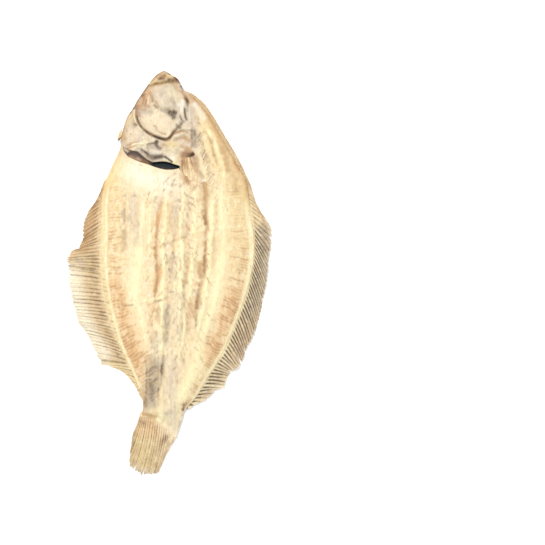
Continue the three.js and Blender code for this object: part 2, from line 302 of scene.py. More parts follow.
# the head's relief, from the snout back to the gill slit
headRelief = [
    (-0.75, 0.65, [(-13.4, 124), (-10.2, 125), (-5.1, 125.3), (-0.1, 126.5), (2.9, 127), (6.6, 125.8)]),
    (0.75, 1.5, [(-11.6, 126.6), (-7, 128), (-2, 128.6), (2.6, 129), (5.2, 127.6)]),
    (0.6, 1.0, [(-8.6, 128.8), (-4.4, 131.2), (-2.6, 133)]),
    (-0.45, 0.5, [(-7, 127.4), (-3.4, 130.4), (0.2, 130)]),
    (-0.45, 0.45, [(-0.8, 127.2), (2.2, 129), (4.4, 129.2)]),
    (0.45, 0.7, [(0.6, 131.6), (2.6, 130.4), (4.6, 130)]),
    (-0.4, 0.45, [(-10.6, 130), (-7.4, 131.6)]),
    # jaw bone and the streaked skin over it
    (0.55, 1.0, [(-11, 120.6), (-11.6, 116), (-10.8, 112), (-7.4, 109)]),
    (-0.5, 0.6, [(-9.6, 119), (-9.8, 114), (-8.6, 111.4), (-6.2, 109.6), (-1.2, 108.6), (3, 109.2)]),
    (-0.45, 0.5, [(-14.6, 122), (-17.2, 117), (-19.6, 112)]),
    (-0.4, 0.45, [(-13.2, 120.6), (-14.4, 116), (-15.6, 111)]),
    (0.4, 0.6, [(-15.4, 121), (-17.2, 116), (-18, 110.4)]),
    (-0.35, 0.45, [(-12.4, 113), (-13.6, 109.6), (-16.4, 108)]),
    # the shallow bulge over the blind orbit, with fine creases fanning on it
    (1.15, 6.2, [(-1.6, 114.8), (-0.8, 116.4)]),
    (-0.25, 0.4, [(-0.6, 121.4), (0.6, 116), (2.6, 110.6)]),
    (-0.25, 0.4, [(2.6, 121), (3.4, 116), (6, 111)]),
    (-0.25, 0.4, [(-5, 120), (-6.4, 115.6), (-5.6, 112)]),
    (-0.8, 1.7, [(-0.6, 105.4), (2.2, 106), (5.6, 105.8)]),
    (-0.7, 1.2, [(2.6, 105), (3.6, 101.8)]),
    (-0.35, 0.5, [(-6.2, 109), (-3, 107.4), (0, 107.2)]),
    # the bony ridge down the right of the head and the crease beside it
    (0.6, 1.2, [(8.4, 121), (9.6, 116), (9.8, 109), (9.4, 102)]),
    (-0.45, 0.45, [(10.6, 110), (10.9, 104.6), (12.2, 100.6)]),
    (-0.7, 0.7, [(10.8, 116.6), (12.6, 114.2), (12, 111.4)]),
    (0.5, 1.2, [(13.6, 112), (14, 105), (15, 99)]),
    (-0.35, 0.5, [(8, 106), (8.8, 103.2), (8.2, 100.6)]),
    # cheek, edged by the curved groove of the gill cover
    (0.75, 6.5, [(-8.6, 101.4), (-5, 97.4)]),
    (-0.95, 0.75, [(-21.8, 109), (-21.6, 104), (-19.2, 98.2), (-15.2, 94.1), (-10.2, 91.1), (-5.1, 89.1),
                   (-1.1, 88.3), (1.2, 90.2), (3.9, 94), (8, 97.7), (9.6, 100.4)]),
    (0.65, 0.7, [(-22.8, 110.4), (-22.8, 104), (-20.4, 97.6), (-16.4, 93)]),
    (-0.4, 0.45, [(-20.2, 108), (-18.6, 101), (-15, 95.6)]),
    (-0.3, 0.45, [(-9.4, 95.2), (-5.4, 92.6), (-1, 91.4)]),
    (0.45, 0.8, [(-8.8, 93.2), (-4.2, 90.8), (-0.6, 90.2), (2.4, 93.6)]),
    (0.5, 0.9, [(3.3, 93.6), (8, 95.4), (11.4, 96), (15.8, 95.2)]),
    (-0.5, 0.7, [(3.4, 91.8), (8.6, 93.9), (13.4, 93)]),
    (0.5, 0.9, [(1.7, 89.4), (7, 91.4), (11.4, 92.2), (15, 89)]),
    (-0.4, 0.5, [(-23.4, 99), (-21.8, 98.2), (-20.4, 97.4)]),
    (-0.25, 0.6, [(14.6, 103), (15.4, 96), (15.6, 88), (15.4, 82)]),
    # crossing ridges on the gill cover
    (-0.75, 1.5, [(-19, 80.4), (-14, 78.2), (-9, 76.2), (-3.6, 75.4)]),
    (0.6, 0.8, [(-22, 83.4), (-15.4, 81.6), (-9.2, 79.2), (-2.8, 78.6)]),
    (0.5, 0.7, [(-25.3, 84.8), (-20.4, 85.2), (-15.7, 86)]),
    (0.65, 0.7, [(-16.8, 90.6), (-16.2, 88), (-15.7, 86)]),
    (0.65, 0.65, [(-15.7, 86), (-12.2, 86.2), (-8.2, 87.4)]),
    (0.6, 0.7, [(-15.7, 86), (-14.8, 83.4), (-13.6, 81.2)]),
    (-0.55, 1.0, [(-7.4, 88.4), (-8, 85.4), (-8.2, 82.6)]),
    (-0.4, 0.9, [(-13, 84.2), (-10.6, 82.4)]),
    (0.55, 2.4, [(-22.4, 91.6), (-20.6, 89.6)]),
    (0.9, 3.2, [(-2.4, 84.6), (2.2, 82.4), (7, 80.6)]),
    (0.7, 1.7, [(7, 82), (12, 80), (16, 79.6)]),
    (-0.6, 0.6, [(8.6, 77.2), (12.6, 76.9), (17, 78.8)]),
    (-0.35, 0.45, [(7.4, 83.4), (11.6, 82.6), (15.6, 80.8)]),
    (0.5, 2.0, [(2, 77), (4.6, 74.6)]),
]
print("relief planned")

# colour laid over the pale side: tone, strength, width in mm, then the line
paleTints = [
    # trunk
    ("rust", 0.75, 1.2, [(-4.8, 44), (-6.2, 38), (-7.9, 29), (-8.6, 20), (-8.4, 13.6), (-8.4, 7),
                         (-7.5, 2.7)]),
    ("rust", 0.8, 1.4, [(-7.9, 8), (-7, -1), (-7.5, -7), (-8.4, -10.3), (-10.1, -17.8)]),
    ("brown", 0.95, 0.55, [(-6, 36), (-7.8, 28), (-8.4, 18), (-8.2, 7), (-7, -2), (-7.8, -9),
                           (-10.3, -18)]),
    ("orange", 0.8, 1.8, [(-5.7, 3.5), (-5, -1)]),
    ("brown", 0.7, 3.0, [(22.6, 60), (23.8, 56.6), (24.6, 52)]),
    ("brown", 0.6, 1.6, [(23.8, 56), (24.2, 48), (23.6, 38)]),
    ("brown", 0.7, 1.0, [(24, 54), (23.4, 46), (24.2, 36), (25.2, 27)]),
    ("umber", 0.5, 0.5, [(23.4, 44), (24.6, 36), (25.6, 28.6)]),
    ("umber", 0.6, 0.7, [(24.8, 25), (24.4, 17), (23.6, 10)]),
    ("tan", 0.8, 2.4, [(21.4, 10), (21, 2), (21.2, -3.6)]),
    ("umber", 0.6, 0.5, [(23.8, 12), (23.9, 4), (23.4, -2)]),
    ("brown", 0.7, 0.6, [(19, 6), (19.8, 1), (21.2, -1.6), (19.8, -3.4)]),
    ("brown", 0.6, 1.4, [(18.6, -6), (20.4, -7.4)]),
    ("slate", 0.55, 2.0, [(18.5, -12.5), (19.6, -17)]),
    ("umber", 0.7, 1.1, [(18.6, -18.4), (19, -22.4)]),
    ("brown", 0.6, 0.9, [(15, -22.6), (16.2, -25.4)]),
    ("slate", 0.5, 0.9, [(18.6, -26), (18.4, -32), (17.6, -40)]),
    ("slate", 0.8, 0.7, [(1.6, 0.6), (0.9, -3), (1.4, -6.4)]),
    ("lilac", 0.9, 2, [(3.6, 14), (4.2, 4), (4.4, -6)]),
    ("slate", 0.6, 1, [(-0.6, 14), (-1.2, 10), (0.6, 6)]),
    ("slate", 0.5, 0.8, [(3.4, 14), (4.6, 11)]),
    ("tan", 0.7, 1.2, [(13, 12), (12.8, 6), (11.8, -2), (11.2, -8)]),
    ("slate", 0.5, 0.8, [(10.6, -12), (10.8, -18), (10.4, -23)]),
    ("slate", 0.6, 0.7, [(9.4, -31), (9, -36), (8.2, -41)]),
    ("rust", 0.45, 0.6, [(8, 11), (8.3, 3)]),
    ("slate", 0.9, 1.4, [(-0.2, -18.4), (-0.6, -27), (0, -33), (-1, -39), (-1.6, -45)]),
    ("umber", 0.6, 0.8, [(-0.7, -20), (-0.9, -26), (-0.3, -32.6), (-1, -38), (-1.4, -43)]),
    ("umber", 0.5, 0.9, [(-6.6, -22.6), (-5.8, -23.4)]),
    ("tan", 0.8, 1.6, [(-7.4, -24), (-7, -31)]),
    ("slate", 0.6, 0.8, [(-7.4, -43.4), (-7, -44.2)]),
    ("grey", 0.8, 2.2, [(-7.4, -36), (-8, -44), (-9, -52)]),
    ("grey", 0.6, 1, [(5.6, -34.6), (6.6, -39)]),
    ("grey", 0.5, 3.2, [(-24, 46), (-24.6, 38), (-23, 28)]),
    ("slate", 0.35, 0.8, [(-26.4, 40), (-25, 36), (-24, 32)]),
    ("olive", 0.55, 0.9, [(-29.4, 47), (-29.2, 34), (-29, 16)]),
    ("slate", 0.6, 0.6, [(-29.4, 45), (-29.2, 40), (-29, 34)]),
    ("olive", 0.4, 2.2, [(-29.6, 30), (-29.6, 22), (-30, 14)]),
    ("grey", 0.7, 1.6, [(-11, 50), (-6, 50), (-4, 46)]),
    ("tan", 0.6, 1, [(-11.4, 50), (-12, 47)]),
    ("tan", 0.5, 1.2, [(2.2, 45.6), (2.6, 40)]),
    ("grey", 0.8, 1.1, [(6.2, 46), (5.4, 40), (5, 36)]),
    ("tan", 0.7, 2.0, [(22.8, 64), (23.8, 56), (23.9, 48), (24, 40)]),
    ("brown", 0.6, 0.8, [(24, 45), (25, 36), (25.4, 29), (24.2, 22), (24.4, 8), (23, -2)]),
    ("brown", 0.4, 1.8, [(19.6, -12), (18.6, -20), (17, -32)]),
    ("orange", 0.35, 2.6, [(-3.6, 48), (-6, 34)]),
    ("lilac", 0.5, 2.6, [(5.4, 50), (5, 38), (4, 26)]),
    ("grey", 0.8, 1.9, [(3.2, 14), (1.8, 6), (1.4, -3)]),
    ("slate", 0.6, 0.6, [(1.2, 4), (1.4, -4)]),
    ("grey", 0.6, 2.4, [(0.4, -17), (-0.8, -32), (-3, -46)]),
    ("grey", 0.45, 1.6, [(11.4, 18), (11, 4), (11.2, -14), (12, -32), (11, -44)]),
    ("lilac", 0.6, 4.6, [(-24.4, 52), (-23.6, 44), (-21.4, 32), (-20, 20)]),
    ("grey", 0.55, 1.2, [(-30, 43), (-29.5, 33), (-28.8, 20), (-29.6, 12)]),
    ("lilac", 0.5, 3.0, [(15, 48), (13, 38), (12, 28)]),
    ("rust", 0.35, 1.3, [(12.6, 47), (13.8, 36), (13, 26)]),
    ("tan", 0.4, 1.6, [(30.6, 26), (29.4, 14), (29.6, 4)]),
    ("tan", 0.35, 1.3, [(31, 52), (32.2, 40), (31.4, 28)]),
    ("grey", 0.4, 1.5, [(-12, -26), (-10.8, -40), (-9, -52)]),
    ("orange", 0.3, 2.2, [(-11.6, -20), (-12, -34), (-11, -44)]),
    ("orange", 0.3, 2.0, [(15, -14), (14.4, -28), (13, -40)]),
    ("brown", 0.4, 1.0, [(-6, 18.2), (0, 19.8), (7.2, 23), (13, 24.6)]),
    ("brown", 0.45, 0.8, [(-14.7, -20.8), (-8.7, -19), (-0.3, -16)]),
    ("slate", 0.35, 0.7, [(-0.3, -12.4), (4, -11.4)]),
    ("slate", 0.4, 0.7, [(-31.4, 50.6), (-26, 51), (-21, 51.2)]),
    ("grey", 0.55, 0.9, [(-15, -55.2), (-10.4, -52.8), (-5.3, -50.8), (-1, -49.2), (3, -46.8), (7, -45)]),
    # tail stem
    ("lilac", 0.7, 4.4, [(1.4, -58), (1, -74), (0, -94)]),
    ("slate", 0.8, 0.9, [(-10.2, -55), (-10.8, -62), (-10.4, -70)]),
    ("slate", 0.85, 1.0, [(-4, -57), (-4.6, -64), (-5.8, -71), (-8, -79)]),
    ("umber", 0.5, 0.6, [(-4.2, -60), (-4.8, -67)]),
    ("umber", 0.6, 0.6, [(-14.4, -60), (-14.8, -70), (-15.4, -80), (-17, -90)]),
    ("brown", 0.6, 2.2, [(-19.4, -74), (-18, -84), (-18.4, -93)]),
    ("lilac", 0.6, 4.2, [(4, -62), (3.4, -76), (3, -92), (3, -104)]),
    ("bright", 0.8, 4.2, [(-8.6, -92.5), (-6.4, -94)]),
    # wide pale and orange fields
    ("lilac", 0.6, 5.0, [(6, -14), (5, -32), (3, -50)]),
    ("bright", 0.85, 3.4, [(-19.6, 16), (-20.6, 2), (-22, -10)]),
    ("bright", 0.7, 3.0, [(35.6, 10), (33, -8), (28.6, -24)]),
    ("bright", 0.85, 4.6, [(21.6, -50), (17.4, -61), (12.6, -72), (9.4, -80)]),
    ("orange", 0.5, 5.0, [(-35, -8), (-31.6, -20), (-28, -32), (-23.6, -46), (-20.6, -58)]),
    ("rust", 0.3, 2.6, [(-34, -10), (-30, -26), (-25, -42), (-21.4, -56), (-18.8, -70)]),
    ("orange", 0.5, 4.6, [(42.6, -12), (38, -27), (31.6, -42), (25, -54)]),
    ("orange", 0.4, 1.8, [(-10, -89.6), (-8.6, -92)]),
    ("rust", 0.75, 1.8, [(-19, -92.6), (-15, -93), (-8, -95.4)]),
    ("umber", 0.7, 1.2, [(12, -84.6), (10, -86.6), (9, -91)]),
    ("brown", 0.5, 1.8, [(13, -83.4), (10.4, -85.8)]),
    # a painted shadow down the right of the tail stem, as cast by a second fish that is not built
    ("umber", 0.45, 0.9, [(9, -92), (7, -99), (5, -105)]),
    # streaks of the nape, along the shoulder
    ("bright", 0.6, 1.3, [(24.2, 97.3), (28.8, 90.6), (31.9, 83), (34, 75.2), (36, 68), (37, 58)]),
    ("white", 0.8, 1.8, [(15.5, 113.7), (19, 109.4), (24.2, 101)]),
    ("olive", 0.35, 0.9, [(23.4, 95), (27.4, 88), (30, 80), (32, 70)]),
    ("tan", 0.8, 2.2, [(34.5, 86), (38, 74), (42.4, 62), (45, 52)]),
    ("tan", 0.5, 1.2, [(24.6, 82), (27.2, 72), (28.4, 62)]),
    ("slate", 0.7, 1.1, [(15.8, 98), (16.8, 94), (18.4, 90)]),
    ("lilac", 0.8, 1.6, [(15, 106), (17, 99)]),
    ("umber", 0.7, 0.7, [(41, 84.6), (44.6, 78.6), (48.4, 72.6)]),
    ("brown", 0.9, 1.6, [(10, 76), (10.4, 71), (11.6, 67)]),
    ("brown", 0.7, 1.6, [(17.4, 77), (18.8, 71)]),
    ("white", 0.9, 0.6, [(22, 61), (24.8, 62)]),
    # behind the gill slit
    ("white", 0.9, 9.0, [(-22, 67), (-10, 62), (0, 59)]),
    ("brown", 0.75, 1.7, [(9.4, 74), (9.8, 69), (10.8, 65)]),
    ("tan", 0.6, 1.5, [(12.6, 72), (13, 66), (13.8, 62)]),
    ("bright", 0.7, 1.1, [(14.9, 75), (15.2, 69), (16, 62)]),
    ("grey", 0.75, 1.5, [(18.4, 78), (19, 72), (20.8, 66), (22.4, 61)]),
    ("slate", 0.35, 0.6, [(2.4, 66.6), (4.6, 64.6), (6.8, 63.6)]),
    ("slate", 0.35, 0.6, [(0.8, 63.2), (3.2, 61.4), (6, 60.6)]),
    ("slate", 0.3, 0.6, [(1.8, 60), (4.4, 58.4), (7.2, 58)]),
    ("white", 0.6, 0.7, [(22.2, 62.2), (24, 61.4)]),
    # over the root of the tail fin
    ("lilac", 0.85, 3.4, [(1, -91), (3, -98), (4, -104)]),
    ("grey", 0.4, 1.6, [(-1, -90), (0, -97)]),
]

headTints = [
    # snout
    ("tan", 0.75, 4.0, [(-9, 127.8), (-2.4, 130.2), (3.6, 128.8)]),
    ("straw", 0.6, 1.5, [(-12, 126.2), (-4, 127.2)]),
    ("olive", 0.95, 0.8, [(-14, 124.2), (-10.9, 124.5), (-9, 125.6), (-5.7, 126), (-2.3, 126.8),
                          (0.4, 126.6),
                          (2, 126.2), (3.6, 127.4)]),
    ("umber", 0.8, 1.1, [(-6.2, 128.7), (-3.4, 129)]),
    ("umber", 0.9, 1.2, [(0.2, 128.2), (2.4, 128.7)]),
    ("umber", 0.9, 1.4, [(3.2, 129.8), (5.4, 128.2)]),
    ("brown", 0.9, 0.8, [(-8.6, 129.4), (-4, 131.4), (-1.6, 130)]),
    ("straw", 0.8, 1.4, [(0, 131), (1.8, 130.4)]),
    ("olive", 0.9, 0.7, [(-13, 126.2), (-8.8, 131), (-5, 133.8)]),
    ("soot", 1.0, 0.7, [(-0.8, 133.4), (0.8, 132.2)]),
    ("umber", 0.9, 0.8, [(4.8, 129.8), (7, 126.8)]),
    ("soot", 1.0, 0.9, [(7.4, 125.2), (8.6, 123.6), (9.8, 122.4)]),
    ("tan", 0.7, 1.3, [(3.6, 124.4), (5.8, 121)]),
    # cheek skin at the left, streaked brown
    ("tan", 0.75, 4.0, [(-14.6, 121.6), (-17, 115.6), (-18.4, 110.6)]),
    ("orange", 0.6, 1.5, [(-14, 119.4), (-14, 113)]),
    ("cream", 0.8, 0.8, [(-13.4, 117), (-13.8, 112.8)]),
    ("brown", 0.95, 0.8, [(-12.8, 121), (-11.4, 116.8), (-10.9, 112.6)]),
    ("brown", 0.95, 0.7, [(-15.4, 120), (-16.6, 115.6), (-17.4, 111.4)]),
    ("brown", 0.7, 0.6, [(-14.8, 114.6), (-15.6, 110.6)]),
    ("umber", 0.9, 1.1, [(-18.4, 119.4), (-17.4, 118)]),
    ("umber", 0.85, 1.2, [(-21.6, 112.4), (-21.2, 108.8), (-20.4, 105)]),
    ("brown", 0.9, 1.5, [(-20.4, 113), (-20.2, 107), (-19.4, 102.8)]),
    ("umber", 0.9, 0.8, [(-22.8, 112), (-18.9, 118.6), (-15.2, 123.2), (-13, 125.8)]),
    ("soot", 0.9, 0.6, [(-26, 106.6), (-23.6, 109.4)]),
    ("brown", 0.7, 1.0, [(-17, 111.6), (-13.4, 110.2), (-11, 109.4)]),
    # orbit bulge
    ("stone", 0.85, 5.4, [(-2.4, 116.6), (-1, 113.4)]),
    ("grey", 0.7, 1.5, [(-3.8, 121.6), (-5.2, 117.6)]),
    ("grey", 0.8, 1.8, [(1.8, 115), (4.2, 111.6)]),
    ("cream", 0.8, 0.7, [(-0.6, 121.6), (0.4, 115), (1.8, 110.6)]),
    ("cream", 0.7, 0.6, [(2.8, 120.6), (4.4, 115.4), (5.6, 111.8)]),
    ("cream", 0.7, 0.6, [(-7.4, 119.4), (-5.8, 114.6), (-3.6, 112)]),
    ("brown", 0.8, 1.3, [(-8.4, 113.4), (-7.2, 111.4)]),
    ("umber", 0.9, 0.6, [(-10.4, 111.8), (-8, 109.7), (-6, 108.7)]),
    ("slate", 0.9, 0.6, [(-6, 108.7), (-2.3, 107.9), (0.8, 108.2)]),
    ("slate", 0.8, 1.8, [(0.4, 106), (3.8, 105)]),
    ("slate", 0.9, 0.7, [(-5, 107.3), (-1.4, 106.2)]),
    # bony ridge
    ("white", 0.6, 1.6, [(4.8, 109.6), (8.4, 112.6), (10, 115.4)]),
    ("white", 0.6, 1.6, [(8.6, 111.4), (8.2, 104)]),
    ("lilac", 0.6, 1.4, [(6.4, 109), (6.6, 102)]),
    ("soot", 1.0, 1.4, [(-1.4, 105.4), (1, 106.4), (2.6, 107.4)]),
    ("soot", 1.0, 1.3, [(2, 107.2), (4, 106.4), (6.2, 105.8)]),
    ("soot", 1.0, 1.4, [(2.4, 106.6), (2.9, 103.9), (3.9, 101.4)]),
    ("soot", 0.75, 0.5, [(10.5, 109.8), (11, 104), (12.4, 100.6)]),
    ("umber", 0.9, 1.1, [(11.2, 115.6), (12.6, 113.4)]),
    ("slate", 0.8, 0.8, [(12.4, 111.8), (12.2, 107.6)]),
    ("brown", 0.85, 1.3, [(8.8, 120.6), (10.6, 116.8)]),
    ("lilac", 0.6, 2.2, [(13.8, 108.4), (14.4, 102)]),
    ("slate", 0.9, 0.7, [(7.4, 104), (8.6, 101.4)]),
    ("slate", 0.6, 0.6, [(7, 100), (8.4, 98.6)]),
    # cheek and the gill cover's groove
    ("cream", 0.9, 7.2, [(-8.6, 101), (-4.6, 97)]),
    ("grey", 0.95, 1.6, [(-18.4, 107.2), (-12, 106.6)]),
    ("brown", 0.6, 0.5, [(-18.4, 108.6), (-14.6, 108)]),
    ("umber", 1.0, 0.8, [(-21.8, 107), (-21.2, 103), (-19, 98), (-15.2, 94), (-10.2, 91), (-5.1, 89),
                         (-1.1, 88.2), (1.2, 90), (3.9, 93.8), (8, 97.6)]),
    ("soot", 0.7, 0.6, [(-10.4, 91), (-5.1, 88.9), (-1.1, 88.2), (1.4, 90.2)]),
    ("slate", 0.7, 0.6, [(8.2, 98.4), (9.8, 100.6)]),
    ("bright", 0.8, 0.7, [(-23, 109.4), (-22.8, 104), (-20.4, 97.8), (-16.6, 93.2)]),
    ("tan", 0.8, 0.5, [(-24.2, 109), (-24.2, 104), (-21.8, 97.4)]),
    ("brown", 0.45, 0.5, [(-9.4, 95.6), (-5.4, 92.8), (-1, 91.6)]),
    ("brown", 0.7, 0.5, [(-9.4, 97.4), (-7.6, 96)]),
    ("slate", 0.95, 0.8, [(-24, 99.2), (-21.8, 98.2), (-20.6, 97.6)]),
    ("grey", 0.7, 1.4, [(-25.4, 101.4), (-23.6, 97)]),
    ("straw", 0.5, 2.0, [(-27.6, 99), (-25.4, 104)]),
    ("brown", 0.7, 0.7, [(3.4, 92), (8.6, 94), (13.4, 93.2)]),
    ("slate", 0.9, 1.0, [(5.6, 97.8), (7.4, 96)]),
    ("tan", 0.8, 1.5, [(10.4, 90), (13.4, 87.4)]),
    ("slate", 0.5, 1.6, [(16.4, 96), (17.2, 88), (17.8, 82)]),
    ("umber", 0.45, 0.6, [(15, 92.6), (15.6, 87), (15.8, 83)]),
    ("brown", 0.7, 0.8, [(2.4, 87.4), (7.4, 89.4), (11.4, 89.6)]),
    # gill cover, and the pale membrane that hangs from its rim
    ("tan", 0.8, 1.7, [(-31, 93.6), (-29.4, 90)]),
    ("cream", 0.8, 3.0, [(-24.4, 92), (-21, 89)]),
    ("lilac", 0.9, 1.8, [(-18.8, 91.6), (-18.6, 88.2)]),
    ("rust", 0.9, 0.7, [(-31, 84.6), (-26.2, 84.6), (-20, 84.4)]),
    ("brown", 0.7, 0.6, [(-29.4, 86.4), (-24.4, 86.4), (-19.4, 87)]),
    ("bright", 0.9, 0.8, [(-25.3, 85.3), (-20.4, 85.5), (-15.7, 86.2), (-12.2, 86.5)]),
    ("bright", 0.9, 0.9, [(-16.8, 90.8), (-15.9, 87), (-14.8, 83.4)]),
    ("bright", 0.9, 0.8, [(-25.2, 82), (-20, 83.2), (-15.6, 84.2)]),
    ("slate", 1.0, 1.3, [(-6.8, 88.6), (-8, 85.4), (-6.8, 83.2), (-4, 81.8)]),
    ("soot", 0.6, 0.8, [(-7.2, 88.2), (-8.2, 85.2), (-7, 83.4)]),
    ("slate", 0.95, 0.8, [(-13.9, 85.4), (-11, 85.8), (-8.2, 85.9)]),
    ("grey", 0.9, 1.8, [(-12.4, 84), (-10.4, 83)]),
    ("umber", 0.9, 0.7, [(-4, 88.6), (-0.6, 88.7), (1, 89.4)]),
    ("tan", 0.75, 1.7, [(-3.4, 84.8), (-0.6, 84)]),
    ("straw", 0.8, 1.8, [(0.4, 86.2), (4.6, 84.6)]),
    ("white", 0.8, 2.0, [(0.6, 79), (2.6, 76.6), (4.6, 74.6)]),
    ("lilac", 0.8, 1.1, [(-0.4, 77.2), (1.2, 78.4)]),
    ("white", 0.9, 1.1, [(-13, 81.6), (-9, 80), (-4.4, 79.2)]),
    ("grey", 1.0, 3.0, [(-19.4, 80.6), (-15, 78.6), (-10.4, 76.8), (-4, 75.8)]),
    ("white", 0.35, 0.6, [(-14.6, 76.4), (-11, 74.9), (-5.6, 74.6), (-2.4, 74.3)]),
    # painted shade under the gill cover's rim, and a painted shadow along its edge where it overhangs the
    # slit
    ("slate", 1.0, 1.6, [(-15, 79.6), (-11, 78.2), (-7, 77.2), (-2.6, 76.6)]),
    ("soot", 0.55, 0.8, [(-10, 77.6), (-6.4, 77), (-3, 76.6)]),
    ("soot", 0.7, 0.6, [(-17.8, 82), (-14.2, 80.2)]),
    ("soot", 1.0, 0.7, [(-3.2, 77), (-1.6, 75.7), (0.8, 73.9), (3, 72.6)]),
    ("brown", 0.75, 2.2, [(9.4, 81.6), (12.6, 80.6), (15.6, 80)]),
    ("brown", 0.8, 1.4, [(12.6, 80.2), (15, 79.8), (16.8, 79.8)]),
    ("tan", 0.6, 1.0, [(7, 84.4), (11, 83.2), (15.2, 81.6)]),
    ("umber", 0.9, 1.2, [(8.6, 79.4), (12, 78.8), (15, 78.6), (17.4, 79.8)]),
    ("soot", 0.9, 0.6, [(10.4, 77.4), (14.4, 77.3), (17.4, 79)]),
    ("brown", 1.0, 2.6, [(9.8, 78), (10.4, 71), (12.4, 62)]),
    ("brown", 0.6, 1.8, [(17, 78), (18.6, 70), (21, 62)]),
    ("umber", 0.6, 1.0, [(8.6, 75.6), (9.4, 71.4), (10.6, 67)]),
    ("brown", 0.7, 1.6, [(14.6, 75), (16.6, 71), (17.6, 66)]),
]

# inside the gill chamber; the dark strokes along the upper lip and the teal-black ones deep in the slit are
# painted shade
gillTints = [
    ("mauve", 0.9, 3.4, [(-29.6, 82), (-26, 79.6), (-20, 77.6)]),
    ("lilac", 0.7, 0.9, [(-29.2, 82.4), (-27.4, 81)]),
    ("soot", 0.85, 1.0, [(-27, 79.4), (-24.4, 80.2), (-21, 79.4), (-17.6, 76.6), (-13.6, 74.2)]),
    ("lip", 0.9, 0.9, [(-20.6, 76.2), (-18.6, 75)]),
    ("brown", 0.7, 1.0, [(-26, 77.4), (-20, 74.8), (-14, 72.8)]),
    ("umber", 0.8, 1.3, [(-17.4, 74.6), (-13.4, 73)]),
    ("slitShadeAndPupil", 1.0, 2.6, [(-9.8, 72.4), (-4, 71.4), (2, 71), (6.4, 70.4)]),
    ("slitShadeAndPupil", 1.0, 2.0, [(-9.6, 74), (-4, 72.6), (3, 71.6)]),
]

# short dark cuts across the trunk, each from one end to the other
shortCuts = [
    (11, 52.4, 16.3, 49.3), (12.3, 47.5, 15.8, 45.3), (13.6, 43.1, 16.3, 41.8),
    (11.4, 40, 13.2, 35.2), (13.6, 19.4, 15.4, 16.7), (11.9, 14.5, 15, 13.2), (0, 62.5, 4.4, 66),
    (0.9, 59.8, 5.3, 62.9), (1.8, 57.6, 7, 59.8), (-8.8, 47.5, -6.2, 44.9),
    (-9.2, 47.5, -7.9, 51), (21.6, 59.4, 24.2, 60), (21.6, 66, 22.9, 64.2), (7, 48.8, 7.5, 47.1),
    (-1.3, -12.1, 4.8, -11.4), (-5.7, -14.7, -4, -12.5), (-9.7, -17.8, -4.4, -17.4),
    (-0.4, 22, 0.4, 21.6), (5.7, 24.2, 7, 25.1), (12.3, 26, 14, 26.4), (11.9, -37.2, 15, -35.9),
    (15, -39.8, 15.8, -43.8), (-29, -20.5, -23.3, -20.2),
]
# darker streaks down the trunk and in the hollow of the stem, each with its width
stemStreaks = [
    ([(-3.4, -54), (-4, -64), (-5.6, -73)], 1.2),
    ([(-12.6, -59), (-12.4, -70), (-11.6, -80)], 2.2),
    ([(-0.8, -26), (-1.6, -38), (-2.2, -47)], 1.1),
    ([(-8, -62), (-8.6, -74)], 1.6),
]

# the visible lips of both gill slits, lower then upper, as (y, x) from left to right
gillPlan = {
    "blind": {
        "lower": [(83.6, -31.4), (80.6, -29.6), (77.7, -27.2), (75.6, -23.1), (73.8, -19), (72.1, -13.3),
                  (70.6, -9.4), (69.4, -5.6), (68.6, -1.6), (68.7, 2.8), (69.4, 6.2), (70.6, 8.2)],
        "upper": [(84.2, -31.4), (83.5, -29.4), (81.6, -25.8), (80.5, -20.4), (77.4, -16.9),
                  (75.2, -14.2),
                  (73.4, -10.6), (73.9, -5.6), (73.7, -1.4), (73, 1), (71.9, 3.8), (70.8, 8.2)],
        # fully open from leftOpen to openBy, and shut beyond leftShut and openFrom
        "leftShut": -31, "leftOpen": -28.4, "openFrom": 8.6, "openBy": 4.6, "depth": 4.2, "cover": 1.1,
        "foldShare": 0.5,
    },
    "eyed": {
        "lower": [(84, -31.4), (80, -29.4), (76.6, -26), (72.8, -19), (69.4, -9), (67, 0), (67.4, 6),
                  (69.4, 9)],
        "upper": [(84.2, -31.4), (84, -29.4), (83.2, -25), (81.4, -16), (78.4, -6), (74.8, 3), (70, 9)],
        "leftShut": -31, "leftOpen": -28, "openFrom": 9.5, "openBy": 3, "depth": 2.8, "cover": 0.9,
        "foldShare": 1,
    },
}

print("colours and gill slits planned")


def slitRows():
    # where each row of the slab stands along the fish: close together at the slit and the head
    return np.concatenate([
        np.linspace(outline["tailY"], 62, 262, endpoint=False),
        np.linspace(62, 69.8, 14, endpoint=False),
        np.linspace(69.8, 75.2, 28, endpoint=False),
        np.linspace(75.2, 131, 102, endpoint=False),
        np.linspace(131, outline["snoutY"], 9),
    ])


